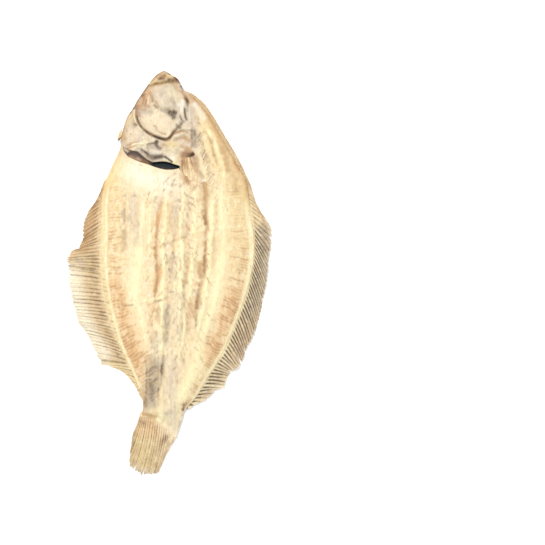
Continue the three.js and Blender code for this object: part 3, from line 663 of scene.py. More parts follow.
def foldSlit(x, y, z, q, plan, up, thick):
    # the skin runs down the slit's wall, under the gill cover and back over the cover's rim
    order = np.array(plan["lower"])
    low = np.interp(x, order[:, 1], order[:, 0])
    order = np.array(plan["upper"])
    high = np.maximum(np.interp(x, order[:, 1], order[:, 0]), low + 0.15)
    opened = 1 - smoothSteps(x, plan["openBy"], plan["openFrom"])
    opened = opened * smoothSteps(x, plan["leftShut"], plan["leftOpen"])
    deep = np.minimum(plan["depth"], 0.46 * thick) * opened
    # its left end is only a shallow fold
    deep *= mix(plan["foldShare"], 1, smoothSteps(x, -15, -9))
    cover = plan["cover"] * opened
    room = np.clip((high - low) / 3, 0.1, 1)
    knots = [-10, -2, -1.5, -1.1, -0.7, 0.7, 1.3, 1.8, 2.2, 2.5, 3.0, 11]
    alongKnots = [y * 0, low - 0.9, low, low + 0.35 * room, low + 0.6 * room, high + 0.4, high + 2.6 * opened,
                  high + 2.6 * opened, high + 0.3, high, high + 0.7, y * 0]
    downKnots = [0, -0.12, 0.1, 0.55, 1, 1, 0.96, 0, 0, 0, 0, 0]
    sink = [d * deep for d in downKnots]
    sink[7] = cover * 1.15
    sink[8] = cover
    sink[9] = cover * 0.35
    sink[10] = -0.35 * opened
    sink[0] = sink[11] = 0 * deep
    newY, newZ = y.copy(), z.copy()
    for i in range(len(knots) - 1):
        here = (q >= knots[i]) & (q < knots[i + 1])
        share = ((q - knots[i]) / (knots[i + 1] - knots[i]))[here]
        if i == 0:
            share = share ** 2 * (3 - 2 * share)
            newY[here] = mix(y[here], y[here] + (alongKnots[1] - (y - q - 2))[here], share)
        elif i == len(knots) - 2:
            share = share ** 2 * (3 - 2 * share)
            newY[here] = mix(y[here] + (alongKnots[10] - (y - q + 3))[here], y[here], share)
        else:
            newY[here] = mix(alongKnots[i][here], alongKnots[i + 1][here], share)
        newZ[here] = z[here] - up * mix(sink[i][here], sink[i + 1][here], share)
    share = smoothSteps(opened, 0, 0.5)
    inside = ((q > -1.5) & (q < 2.3)) * share
    return mix(y, newY, share), mix(z, newZ, share), inside


def edgeArc(edge, low, high):
    # the distance along an edge at each of many heights
    steps = np.linspace(low, high, 500)
    return steps, np.concatenate([[0], np.cumsum(np.hypot(np.diff(edge(steps)), np.diff(steps)))])


def edgePlace(x, y, edge, side, root):
    # how far in from an edge a place is, and how far along that edge from the fin's first ray
    steps, arc = edgeArc(edge, -112, 136)
    m = np.interp(y, steps, np.gradient(edge(steps), steps))
    c = 1 / np.sqrt(1 + m * m)
    h = side * (edge(y) - x)
    along = np.interp(y, steps, arc) - side * h * m * c
    return h * c, along - np.interp(root[0], steps, arc)


def sculptLines(x, y, lines):
    height = np.zeros_like(x)
    for lift, width, points in lines:
        height += lift * near(x, y, points, width, 0.12 if len(points) > 2 else 0)
    return height


hatchKinds = 160


def hatching(along, inward, quick, plan):
    # thin lines across a band, each with its own strength and length and a wandering course
    draw = random.Random(plan["seed"])
    place = (along - plan["lean"] * inward + 0.55 * (plan["waver"] * quick)) / plan["spacing"]
    line = np.rint(place)
    index = line.astype(int) % hatchKinds
    strengths = np.array([draw.uniform(0.1, 1.0) for _ in range(hatchKinds)])
    lengths = np.array([draw.uniform(0.45, 1.0) for _ in range(hatchKinds)]) * plan["longest"]
    inside = 1 - smoothSteps(inward, lengths[index] - 3, lengths[index] + 0.5)
    return hump(place - line, plan["width"]) * strengths[index] * inside


def cutsAcross(x, y, count, seed):
    # small cuts between the muscle blocks, leaning outwards on each side of the backbone
    draw = random.Random(seed)
    cuts = np.zeros_like(x)
    for _ in range(count):
        cx, cy = min(max(draw.gauss(7, 11), -14), 26), draw.uniform(-58, 66)
        half, steep = draw.uniform(0.3, 1.2), draw.uniform(0.8, 3)
        rise = steep * half * (-1 if cx > 5 else 1)
        touch = near(x, y, [(cx - half, cy - rise), (cx + half, cy + rise)], draw.uniform(0.3, 0.5))
        cuts = np.maximum(cuts, draw.uniform(0.15, 0.8) * touch)
    return cuts


def wrinkles(x, y, places, count, seed):
    # many short soft arcs scattered around the given places, as dried skin puckers
    draw = random.Random(seed)
    total = np.zeros_like(x)
    for _ in range(count):
        px, py, spread, lean = places[draw.randrange(len(places))]
        cx, cy = draw.gauss(px, spread), draw.gauss(py, spread)
        half, turn, bow = draw.uniform(1, 2.6), lean + draw.gauss(0, 0.35), draw.uniform(-0.9, 0.9)
        ux, uy = np.cos(turn), np.sin(turn)
        ends = [(cx - half * ux, cy - half * uy), (cx - bow * uy, cy + bow * ux),
                (cx + half * ux, cy + half * uy)]
        total = np.maximum(total, draw.uniform(0.3, 1) * near(x, y, ends, draw.uniform(0.3, 0.5), 0.3))
    return total


# where the skin puckers: x, y, spread and the angle of its wrinkles in radians
puckers = [
    (2, 62, 4, 0.6), (10, 62, 3, 1.2), (-8, 50, 5, 1.4), (4, 48, 5, 1.5), (14, 46, 4, -0.6),
    (15, 60, 3, 0.9), (4, 34, 6, 1.5), (12, 34, 4, -0.8), (3, 10, 4, 1.5), (13, 8, 3, -1.1),
    (20, 0, 2, 1.3), (-7, 20, 3, 1.5), (18, -18, 3, 1.4), (10, -22, 4, 1.5), (-10, -30, 4, 1.5),
    (2, -58, 6, 1.4), (8, -66, 5, 1.4), (-9, -66, 4, 1.5), (-26, 34, 4, 1.4), (40, 50, 5, 1.9),
    (34, 66, 5, 2.0), (24, 86, 5, 2.0), (18, 98, 4, 1.8),
]
headPuckers = [
    (-1, 115, 4, 1.2), (-15, 116, 3, 1.3), (-8, 100, 5, 0.4), (-24, 96, 3, 1.2), (10, 90, 3, 0.3),
    (-4, 128, 4, 0.5), (6, 106, 3, 1.4), (-16, 88, 4, 0.2), (2, 84, 3, -0.3),
]

# two rows of slanted cuts behind the head: how many, the first one's place, the step to the next,
# how far they stray, their half length, their reach to each side, width, strength and its loss
combRows = [
    {"count": 13, "start": (20.2, 91.4), "step": (0.58, 2.4), "stray": 0.4, "half": (1.4, 2.7),
     "lean": (0.45, 0.5), "width": 0.5, "strength": (0.35, 1), "loss": 0.045},
    {"count": 9, "start": (26.4, 66), "step": (0.7, 2.6), "stray": 0.5, "half": (0.8, 2),
     "lean": (0.5, 0.6), "width": 0.45, "strength": (0.1, 0.3), "loss": 0},
]

# noise of each side, from coarse to fine: grain size, seed and stretch along the fish
paleGrains = [(16, 3.1, 1.8), (4.2, 8.4, 2.2), (1.7, 5.5, 1.4), (1.5, 6.5, 9), (1.1, 7.5, 0.8)]
brownGrains = [(15, 13.1, 1.4), (4, 18.4, 1.3), (1.5, 15.5, 1)]
finGrains = [(11, 37.0), (3.5, 31.0), (1.4, 33.0)]

# thin lines in the band along each fin: lean, spacing, width, waver, seed and greatest length
ventralHatch = {"lean": 0.08, "spacing": 2.2, "width": 0.34, "waver": 2.6, "seed": 3, "longest": 21}
dorsalHatch = {"lean": 0.12, "spacing": 2.0, "width": 0.34, "waver": 2.6, "seed": 4, "longest": 18}


def combCuts(x, y, draw):
    # the slanted combs of small cuts behind the head
    comb = np.zeros_like(x)
    for row in combRows:
        for i in range(row["count"]):
            cx = row["start"][0] + row["step"][0] * i + draw.uniform(-row["stray"], row["stray"])
            cy = row["start"][1] - row["step"][1] * i
            half = draw.uniform(*row["half"])
            strength = draw.uniform(*row["strength"]) * (1 - row["loss"] * i)
            ends = [(cx - row["lean"][0] * half, cy - half), (cx + row["lean"][1] * half, cy + half)]
            comb += strength * near(x, y, ends, row["width"])
    return comb


def paleSide(x, y):
    # the pale side's relief and colour at each place
    ventralIn, ventralAlong = edgePlace(x, y, ventralEdge, -1, outline["analRoot"])
    dorsalIn, dorsalAlong = edgePlace(x, y, dorsalEdge, 1, outline["dorsalRoot"])
    trunk = between(y, -90, -78, 60, 76)
    trunkDorsal = smoothSteps(y, -88, -78) * (1 - smoothSteps(y, 48, 112) * 0.8)
    lower = smoothSteps(-y, -25, 30)
    slow, quick, fine, strands, flecks = [grain(x, y, *kind) for kind in paleGrains]
    marble = grain(x + 2.2 * quick, y + 2 * fine, 3.4, 9.5, 1.7)

    # each fin's seam is one bright strip, nearer the edge towards the tail
    seamV = 3.4 - 2.6 * smoothSteps(-y, 18, 64)
    seamD = 1.5 - 1.2 * smoothSteps(-y, -10, 27)
    ridgeV = hump(ventralIn - seamV, 0.85) * trunk
    ridgeD = hump(dorsalIn - seamD, 1.1) * trunkDorsal * (1 - 0.8 * smoothSteps(y, 34, 50))
    innerV = hump(ventralIn - seamV - 1.4, 0.6) * trunk
    ragged = 3 * slow + 4 * quick
    bandV = smoothSteps(ventralIn, seamV + 0.7, seamV + 1.9)
    bandV *= 1 - smoothSteps(ventralIn + ragged, 11.5, 19)
    bandV *= trunk
    deep = smoothSteps(-y, 42, 58)
    bandD = smoothSteps(dorsalIn, seamD + 1, seamD + 2.6) * trunkDorsal * (1 - 0.3 * deep)
    bandD *= 1 - smoothSteps(dorsalIn + ragged, 11 - 5 * deep, 19 - 9 * deep)
    bands = bandV + bandD
    rimV = (1 - smoothSteps(ventralIn, seamV - 1.4, seamV - 0.2)) * trunk
    hatchV = hatching(ventralAlong, ventralIn, quick, ventralHatch)
    hatchD = hatching(dorsalAlong, dorsalIn, quick, dorsalHatch)
    # one short tick for each ray of the anal fin
    analGap = edgeArc(ventralEdge, *outline["analRoot"])[1][-1] / outline["analRays"]
    ticks = {"lean": -0.5 * lower, "spacing": analGap, "width": 0.24, "waver": 0, "seed": 5,
             "longest": 99}
    tickV = hatching(ventralAlong, ventralIn, quick, ticks)
    cuts = cutsAcross(x, y, 260, 19)

    height = 0.6 * ridgeV + 0.2 * ridgeD - 0.15 * innerV
    height -= 0.22 * (hatchV * bandV + hatchD * bandD) * (0.75 + 0.5 * slow)
    height -= 0.2 * tickV * rimV
    height += 0.25 * slow * trunk + 0.2 * quick + 0.12 * fine + 0.08 * strands * trunk
    # the lines wander a little with the noise, as dried flesh does
    wx, wy = x + 0.9 * quick + 0.7 * fine, y + 0.8 * slow
    height += 1.15 * sculptLines(wx, wy, paleRelief) + 1.6 * sculptLines(x, y, headRelief)
    draw = random.Random(7)
    comb = combCuts(x, y, draw)
    for ax, ay, bx, by in shortCuts:
        comb += draw.uniform(0.2, 0.5) * near(wx, wy, [(ax, ay), (bx, by)], draw.uniform(0.35, 0.6))
    pucker = wrinkles(wx, wy, puckers, 240, 29)
    headPucker = wrinkles(x, y, headPuckers, 110, 31)
    height -= 0.35 * comb + 0.12 * cuts + 0.14 * pucker + 0.16 * headPucker

    tint = np.tile(tones["cream"], (len(x), 1))
    paint(tint, 0.55 * smoothSteps(slow, -0.1, 0.5), "bright")
    paint(tint, 0.3 * smoothSteps(-slow + 0.5 * quick, 0.1, 0.6), "straw")
    # greyish marbling down the middle of the trunk
    middle = hump(x - 2, 17) * (1 - smoothSteps(y, 60, 70)) * (1 - 0.4 * smoothSteps(y, -60, -80))
    paint(tint, 0.5 * smoothSteps(marble, 0.0, 0.45) * middle, "lilac")
    paint(tint, 0.4 * smoothSteps(marble + 0.4 * flecks, 0.3, 0.7) * middle, "grey")
    paint(tint, 0.4 * smoothSteps(-marble + 0.3 * strands, 0.25, 0.7) * middle, "band")
    paint(tint, (0.5 + 0.5 * slow) * bandV * (0.6 + 0.4 * lower), "band")
    paint(tint, (0.4 + 0.5 * slow) * bandD * (0.4 + 0.6 * lower), "band")
    warm = smoothSteps(quick + 0.5 * slow, -0.05, 0.4)
    paint(tint, (0.15 + 0.45 * lower) * warm * bands, "orange")
    paint(tint, (0.05 + 0.22 * lower) * smoothSteps(fine + 0.6 * quick, 0.1, 0.6) * bands, "rust")
    paint(tint, 0.35 * (1 - lower) * bands, "straw")
    paint(tint, (0.4 + 0.6 * lower) * hatchV * bandV * (1 + 1.2 * fine), "tan")
    paint(tint, (0.35 + 0.6 * lower) * hatchD * bandD * (1 + 1.2 * fine), "tan")
    paint(tint, 0.45 * smoothSteps(hatchV * bandV + hatchD * bandD + quick, 0.45, 1.1), "brown")
    paint(tint, 0.4 * rimV, "straw")
    paint(tint, 0.95 * ridgeV, "bright")
    paint(tint, 0.95 * ridgeD, "bright")
    low = 1 - 0.7 * smoothSteps(y, -25, 10)
    paint(tint, 0.7 * tickV * rimV * low, "gap")
    paint(tint, 0.2 * innerV, "tan")
    # the head is greyer than the trunk
    head = smoothSteps(y, 70, 84) * (1 - smoothSteps(x, 14, 24))
    paint(tint, 0.7 * head, "stone")
    paint(tint, 0.35 * head * smoothSteps(marble, 0.05, 0.5), "grey")
    # fine grain of the dried flesh
    paint(tint, 0.26 * smoothSteps(fine + 0.5 * strands, 0.12, 0.6), "band")
    paint(tint, 0.35 * smoothSteps(-fine + 0.4 * flecks, 0.1, 0.5), "white")
    paint(tint, 0.3 * smoothSteps(flecks, 0.2, 0.6), "tan")
    # painted highlight along the raised ridges, painted shade in the sunken grooves
    soft = np.clip(1 + 0.4 * quick + 0.3 * fine, 0.5, 1.4)
    for lines, glow in ((paleRelief, 1.5), (headRelief, 0.85)):
        for lift, width, points in lines:
            touch = near(wx, wy, points, width, 0.12 if len(points) > 2 else 0) * soft
            if lift > 0:
                paint(tint, np.minimum(glow * lift * touch, 0.95), "bright")
            else:
                paint(tint, -0.7 * lift * touch, "tan")
    # the hollow of the tail stem is painted grey, with fine slate strands
    stem = near(x, y, [(-8.8, -60), (-9.6, -66), (-10.8, -75), (-12.4, -83), (-13, -87)], 5.2)
    paint(tint, 0.95 * stem, "grey")
    paint(tint, 0.35 * stem, "slate")
    paint(tint, 0.8 * stem * smoothSteps(strands + 0.6 * fine, -0.2, 0.35), "slate")
    for points, width in stemStreaks:
        paint(tint, 0.75 * near(x, y, points, width) * (0.8 + 0.8 * strands + 0.3 * fine), "slate")
    paint(tint, 0.4 * middle * smoothSteps(strands + 0.5 * fine, 0.15, 0.5), "tan")
    # golden brown rim where the dorsal fin lies folded along the shoulder
    shoulder = between(y, 38, 56, 114, 124)
    paint(tint, 0.6 * hump(dorsalIn, 6.5) * shoulder * (1 + slow), "straw")
    paint(tint, 0.75 * hump(dorsalIn, 3.2) * shoulder * (1 + 0.8 * quick), "rust")
    paint(tint, 0.5 * hump(dorsalIn, 1.2) * shoulder * (1 + fine), "olive")
    throat = smoothSteps(y, 84, 90)
    paint(tint, 0.6 * hump(ventralIn, 2.4) * throat, "tan")
    paint(tint, 0.6 * hump(ventralIn, 0.9) * throat, "umber")
    belly = between(y, 46, 64, 82, 86)
    paint(tint, 0.75 * hump(ventralIn, 3) * belly * (1 + quick), "rust")
    paint(tint, 0.6 * hump(ventralIn, 9) * belly * (1 + 0.8 * quick), "straw")
    broken = np.clip(0.95 + 0.9 * quick + 1.1 * fine, 0.15, 1.6)
    streaked = 0.5 + 0.65 * smoothSteps(strands + 0.5 * fine, -0.3, 0.35)
    for colour, strength, width, points in paleTints:
        touch = near(wx, wy, points, max(width, 0.6), 0.1 if len(points) > 2 and width < 2.5 else 0)
        if colour in ("grey", "lilac", "slate"):
            touch = touch * streaked
        paint(tint, strength * touch * (broken if width < 1.5 else soft), colour)
    # dark lines across both orange bands, pale flesh between them
    lines = hatchV * bandV + hatchD * bandD
    paint(tint, 0.4 * lower * bands * (1 - smoothSteps(lines, 0, 0.12)) * soft, "cream")
    uneven = np.clip(1 + 1.6 * fine + quick, 0, 2)
    strength = (0.08 + 0.42 * lower) * (1 - 0.6 * smoothSteps(-y, 62, 74))
    paint(tint, strength * smoothSteps(lines * uneven, 0.15, 1.0), "brown")
    paint(tint, 0.95 * np.clip(1.25 * comb, 0, 1), "slate")
    paint(tint, 0.8 * cuts * (1 + fine), "tan")
    paint(tint, 0.6 * pucker, "tan")
    paint(tint, 0.25 * smoothSteps(pucker, 0.4, 0.9), "slate")
    paint(tint, 0.4 * smoothSteps(cuts, 0.35, 0.8), "slate")
    mottled = np.clip(1.05 + 0.35 * quick + 0.4 * fine, 0.5, 1.3)
    for colour, strength, width, points in headTints:
        touch = near(x, y, points, max(1.1 * width, 0.75), 0.1 if len(points) > 2 and width < 2.5 else 0)
        paint(tint, strength * touch * mottled, colour)
    paint(tint, 0.45 * headPucker * mottled, "tan")
    paint(tint, 0.22 * smoothSteps(headPucker, 0.4, 0.9), "slate")
    # the head's skin is cooler than the trunk's
    tint *= mix(np.ones(3), headShade, head[:, None])
    return height, tint


def brownSide(x, y):
    # the hidden eyed side: brown scaly skin, its lateral line, gill cover and two eye sockets
    ventralIn, ventralAlong = edgePlace(x, y, ventralEdge, -1, outline["analRoot"])
    dorsalIn, dorsalAlong = edgePlace(x, y, dorsalEdge, 1, outline["dorsalRoot"])
    slow, quick, fine = [grain(x, y, *kind) for kind in brownGrains]
    trunk = between(y, -90, -78, 60, 74)
    bands = (between(ventralIn, 3, 5, 11, 14) + between(dorsalIn, 3, 5, 11, 14)) * trunk
    combs = (np.cos(2 * np.pi * (ventralAlong - 0.45 * ventralIn) / 2.6) * (ventralIn < dorsalIn)
             + np.cos(2 * np.pi * (dorsalAlong - 0.35 * dorsalIn) / 2.6) * (dorsalIn <= ventralIn))
    height = 0.14 * combs * bands + 0.35 * slow + 0.12 * quick + 0.05 * fine
    height += sculptLines(x, y, brownRelief)
    tint = np.tile(tones["hide"], (len(x), 1))
    paint(tint, 0.6 * smoothSteps(slow, 0, 0.5), "hideDark")
    paint(tint, 0.45 * smoothSteps(-slow + 0.4 * quick, 0.1, 0.6), "hidePale")
    paint(tint, 0.3 * smoothSteps(quick, 0.1, 0.5), "hidePale")
    paint(tint, 0.35 * smoothSteps(-combs, 0.2, 1) * bands, "hideDark")
    paint(tint, 0.5 * hump(ventralIn - 2, 1.4) * trunk, "hidePale")
    paint(tint, 0.5 * hump(dorsalIn - 2, 1.4) * trunk, "hidePale")
    paintStrokes(tint, x, y, brownTints, 0.8 + 0.4 * quick)
    return height, tint


# the eyed side's raised and sunken lines and its colours, seen through from above
brownRelief = [
    # lateral line, arched over the pectoral fin, then straight to the tail
    (0.35, 0.6, [(14, 84), (15.5, 76), (13, 66), (8, 58), (6.4, 40), (5, 0), (3, -40), (-3, -90)]),
    # gill cover: its rim, the curved groove before it and three low ribs
    (0.7, 0.9, [(-27, 86), (-17, 84.6), (-6, 81.4), (3, 77.6), (10.6, 77), (14.6, 82), (13, 90)]),
    (-0.8, 0.8, [(-22, 108), (-19, 99), (-11, 93), (-2, 92), (5, 97), (8, 103)]),
    (0.6, 1.2, [(-20, 104), (-16, 97), (-8, 94.6)]),
    (0.45, 0.8, [(-10, 90), (-2, 86), (8, 83)]),
    (0.45, 0.8, [(-14, 90.6), (-12, 87), (-8, 85)]),
    (0.5, 2.6, [(-8, 104), (-3, 100)]),
    # brow ridge between the eyes, and the rims of the sockets
    (0.9, 1.3, [(-3.4, 109.6), (-3, 115.6), (-4, 121.6)]),
    (0.6, 0.9, [(-0.6, 112), (1.2, 109.8), (4.6, 108.8), (8.4, 110.2), (10.4, 114)]),
    (0.6, 0.9, [(-16.2, 115), (-14.6, 111.6), (-10.8, 110.6), (-7, 112)]),
    (0.5, 0.8, [(10.4, 117), (8.2, 121), (4, 122.2)]),
    (0.5, 0.8, [(-15.6, 120.4), (-12.4, 123.6), (-8, 123.4)]),
    # the twisted mouth with its two lips
    (-1.3, 0.65, [(-1, 133.8), (-5.4, 130), (-9.2, 126.8), (-13.4, 124.6)]),
    (0.55, 0.8, [(-3.4, 134), (-8, 130.4), (-12.6, 127)]),
    (0.5, 0.8, [(0.6, 131.4), (-3.8, 128), (-8.4, 125)]),
    (-0.5, 0.5, [(1.6, 127), (2.6, 125)]),
]
brownTints = [
    ("hidePale", 0.7, 0.7, [(14, 84), (15.5, 76), (13, 66), (8, 58), (6.4, 40), (5, 0), (3, -40),
                            (-3, -90)]),
    ("stainAndShade", 0.8, 7, [(-26, 66), (-20, 56), (-18, 40)]),
    ("stainAndShade", 0.6, 5, [(-22, 50), (-16, 26), (-14, 6)]),
    ("hideDark", 0.8, 9, [(-12, 102), (0, 98)]),
    ("stainAndShade", 0.5, 6, [(-8, 106), (4, 104)]),
    ("hidePale", 0.85, 1.1, [(-27, 86), (-17, 84.6), (-6, 81.4), (3, 77.6), (10.6, 77), (14.6, 82),
                             (13, 90)]),
    ("hidePale", 0.5, 1.2, [(-20, 104), (-16, 97), (-8, 94.6)]),
    ("stainAndShade", 0.9, 3.0, [(4.6, 115.4), (5, 116)]),
    ("stainAndShade", 0.9, 3.0, [(-10.8, 117.4), (-11, 118)]),
    ("hideDark", 0.8, 4.4, [(4.6, 112), (4.6, 118)]),
    ("hideDark", 0.8, 4.4, [(-10.8, 114), (-10.8, 120)]),
    ("lip", 0.85, 0.9, [(-3.4, 134), (-8, 130.4), (-12.6, 127)]),
    ("lip", 0.75, 0.9, [(0.6, 131.4), (-3.8, 128), (-8.4, 125)]),
    ("soot", 0.9, 0.6, [(-1, 133.8), (-5.4, 130), (-9.2, 126.8), (-13.4, 124.6)]),
    ("hideDark", 0.5, 4, [(6, -20), (4, -60)]),
    ("hidePale", 0.4, 5, [(28, 10), (26, -30)]),
    ("hidePale", 0.35, 5, [(-26, -10), (-20, -40)]),
]
sockets = [(4.6, 115.4), (-10.8, 117.4)]
socketPlan = {"radius": 5.1, "depth": 6.1}


def makeBody(material):
    plan = fleshPlan
    rows = slitRows()
    piece = slab("dabBody", plan["across"], len(rows) - 1)
    acrossShare, alongShare, top = shares(piece)
    row = np.rint(alongShare * (len(rows) - 1)).astype(int)
    s = rows[row]
    t = 2 * acrossShare - 1
    t = mix(t, np.sin(t * math.pi / 2), plan["edgeCrowd"])
    u = (t + 1) / 2
    swing = np.array(plan["slitSwing"])
    gone = np.clip((s - plan["slitRow"]) / plan["slitReach"], -1, 1)
    weight = np.cos(gone * math.pi / 2) ** 2
    nearTail = np.clip((outline["tailY"] + outline["tailStem"] - s) / outline["tailStem"], 0, 1)
    y = s + weight * np.interp(u, swing[:, 1], swing[:, 0])
    curve = np.array(plan["endCurve"])
    y = y + nearTail ** 2 * np.interp(u, curve[:, 1], curve[:, 0])
    yLeft = s + weight * swing[0, 0] + curve[0, 0] * nearTail ** 2
    yRight = s + weight * swing[-1, 0] + curve[-1, 0] * nearTail ** 2
    y = np.minimum(y, outline["snoutY"])
    left = ventralEdge(np.minimum(yLeft, outline["snoutY"]))
    right = dorsalEdge(yRight)
    # between the two ends of a row, x follows the edges at the row's own height
    leftHere, rightHere = ventralEdge(y), dorsalEdge(y)
    x = mix(left, right, u)
    x = np.where(t < 0, np.maximum(x, leftHere), np.minimum(x, rightHere))
    x = mix(x, mix(leftHere, rightHere, u), 0.85)
    edgeT = np.abs(2 * (x - leftHere) / np.maximum(rightHere - leftHere, 0.1) - 1).clip(0, 1)
    line, back = finLine(y), backHeight(y)
    half = plan["edgeHalf"]
    dome = (1 - edgeT ** 2.2) ** 0.95
    over = line + half + (back - line - half) * dome
    under = (line - half) * smoothSteps(edgeT, plan["flatShare"], 1.04) + 0.35
    # the flesh thins to almost nothing where it ends over the tail fin
    toEnd = smoothSteps(s - outline["tailY"], 0, plan["endThin"])
    over = mix(plan["endOver"], over, toEnd)
    under = mix(plan["endUnder"], under, toEnd)
    thick = over - under
    z = np.where(top, over, under)

    tint = np.zeros((len(x), 3))
    height, tint[top] = paleSide(x[top], y[top])
    calm = np.clip((1 - edgeT[top]) * 14, 0.12, 1) * mix(0.3, 1, toEnd[top])
    z[top] += height * calm
    height, tint[~top] = brownSide(x[~top], y[~top])
    calm = np.clip((1 - edgeT[~top]) * 14, 0.12, 1)
    z[~top] -= height * calm
    for cx, cy in sockets:
        r = np.hypot(x - cx, y - cy) / socketPlan["radius"]
        dish = np.where(r < 1, socketPlan["depth"] * np.sqrt(np.clip(1 - r * r, 0, 1)), 0)
        z = np.where(top, z, np.maximum(z, dish))
    z[~top] = np.maximum(z[~top], 0.02)
    z[top] = np.maximum(z[top], z[~top].min() + 0.4)

    q = s - plan["slitRow"]
    y[top], z[top], inside = foldSlit(x[top], y[top], z[top], q[top], gillPlan["blind"], 1, thick[top])
    chamber = tint[top]
    paint(chamber, inside, "hide")
    paintStrokes(chamber, x[top], y[top], gillTints, inside)
    tint[top] = chamber
    y[~top], z[~top], inside = foldSlit(x[~top], y[~top], z[~top], q[~top], gillPlan["eyed"], -1,
                                        0.7 * thick[~top])
    chamber = tint[~top]
    # painted shade: the eyed slit's chamber is painted dark all over
    paint(chamber, inside, "stainAndShade")
    tint[~top] = chamber
    z = np.maximum(z, 0.02)
    shape(piece, x, y, z)
    storeTint(piece, tint)
    thinUnderside(piece, top, edgeT, plan["underKept"])
    finishPiece(piece, material, "skin", "body", angle=80)
    return piece


def thinUnderside(piece, top, edgeT, kept):
    # the flat hidden side needs fewer faces than the pale one
    clearSelection()
    bpy.context.view_layer.objects.active = piece
    bpy.ops.object.mode_set(mode="EDIT")
    bpy.ops.mesh.select_mode(type="FACE")
    bpy.ops.mesh.select_all(action="DESELECT")
    bpy.ops.object.mode_set(mode="OBJECT")
    chosen = ~top & (edgeT < 0.97)
    corners = np.empty(len(piece.data.loops), int)
    piece.data.loops.foreach_get("vertex_index", corners)
    inner = chosen[corners].reshape(-1, 4).all(axis=1)
    piece.data.polygons.foreach_set("select", inner)
    bpy.ops.object.mode_set(mode="EDIT")
    bpy.ops.mesh.decimate(ratio=kept)
    bpy.ops.mesh.select_all(action="SELECT")
    bpy.ops.mesh.normals_make_consistent(inside=False)
    bpy.ops.object.mode_set(mode="OBJECT")
    piece.data.calc_loop_triangles()
    print("body triangles", len(piece.data.loop_triangles))


def tintedShader(name):
    # a new material, its shader, and the painted tint and the place that its textures start from
    material = bpy.data.materials.new(name)
    material.use_nodes = True
    tree = material.node_tree
    tintNode = tree.nodes.new("ShaderNodeAttribute")
    tintNode.attribute_name = "tint"
    place = tree.nodes.new("ShaderNodeTexCoord")
    return material, tree, tree.nodes["Principled BSDF"], tintNode.outputs["Color"], place.outputs["Object"]


def addNoise(tree, place, scale, detail, roughness):
    specks = tree.nodes.new("ShaderNodeTexNoise")
    specks.inputs["Scale"].default_value = scale
    specks.inputs["Detail"].default_value = detail
    specks.inputs["Roughness"].default_value = roughness
    tree.links.new(place, specks.inputs["Vector"])
    return specks.outputs["Fac"]


def darken(tree, colour, share, shade, low, high, strength):
    # multiplies the colour by the shade below low, and by less and less of it up to high
    ramp = tree.nodes.new("ShaderNodeValToRGB")
    ramp.color_ramp.elements[0].position = low
    ramp.color_ramp.elements[0].color = (*shade, 1)
    ramp.color_ramp.elements[1].position = high
    ramp.color_ramp.elements[1].color = (1, 1, 1, 1)
    tree.links.new(share, ramp.inputs["Fac"])
    blend = tree.nodes.new("ShaderNodeMix")
    blend.data_type = "RGBA"
    blend.blend_type = "MULTIPLY"
    blend.inputs["Factor"].default_value = strength
    tree.links.new(colour, blend.inputs["A"])
    tree.links.new(ramp.outputs["Color"], blend.inputs["B"])
    return blend.outputs["Result"]


def addBump(tree, height, strength, distance, under=None):
    bump = tree.nodes.new("ShaderNodeBump")
    bump.inputs["Strength"].default_value = strength
    bump.inputs["Distance"].default_value = distance
    tree.links.new(height, bump.inputs["Height"])
    if under:
        tree.links.new(under, bump.inputs["Normal"])
    return bump.outputs["Normal"]


def skinMaterial():
    material, tree, shader, colour, place = tintedShader("driedSkin")
    shader.inputs["Roughness"].default_value = 0.55
    shader.inputs["Specular IOR Level"].default_value = 0.22
    # fibres that run along the fish
    stretch = tree.nodes.new("ShaderNodeMapping")
    stretch.inputs["Scale"].default_value = (1, 0.22, 1)
    tree.links.new(place, stretch.inputs["Vector"])
    fibres = addNoise(tree, stretch.outputs["Vector"], 900, 6, 0.62)
    specks = addNoise(tree, place, 420, 8, 0.7)
    colour = darken(tree, colour, fibres, (0.7, 0.6, 0.5), 0.3, 0.62, 0.4)
    colour = darken(tree, colour, specks, (0.72, 0.66, 0.6), 0.32, 0.5, 0.4)
    tree.links.new(colour, shader.inputs["Base Color"])
    # scales and fine wrinkles in the bump
    scales = tree.nodes.new("ShaderNodeTexVoronoi")
    scales.inputs["Scale"].default_value = 760
    tree.links.new(place, scales.inputs["Vector"])
    normal = addBump(tree, fibres, 0.4, 0.0005)
    normal = addBump(tree, scales.outputs["Distance"], 0.22, 0.0004, normal)
    tree.links.new(normal, shader.inputs["Normal"])
    return material


skin = skinMaterial()
body = makeBody(skin)
print("body made")

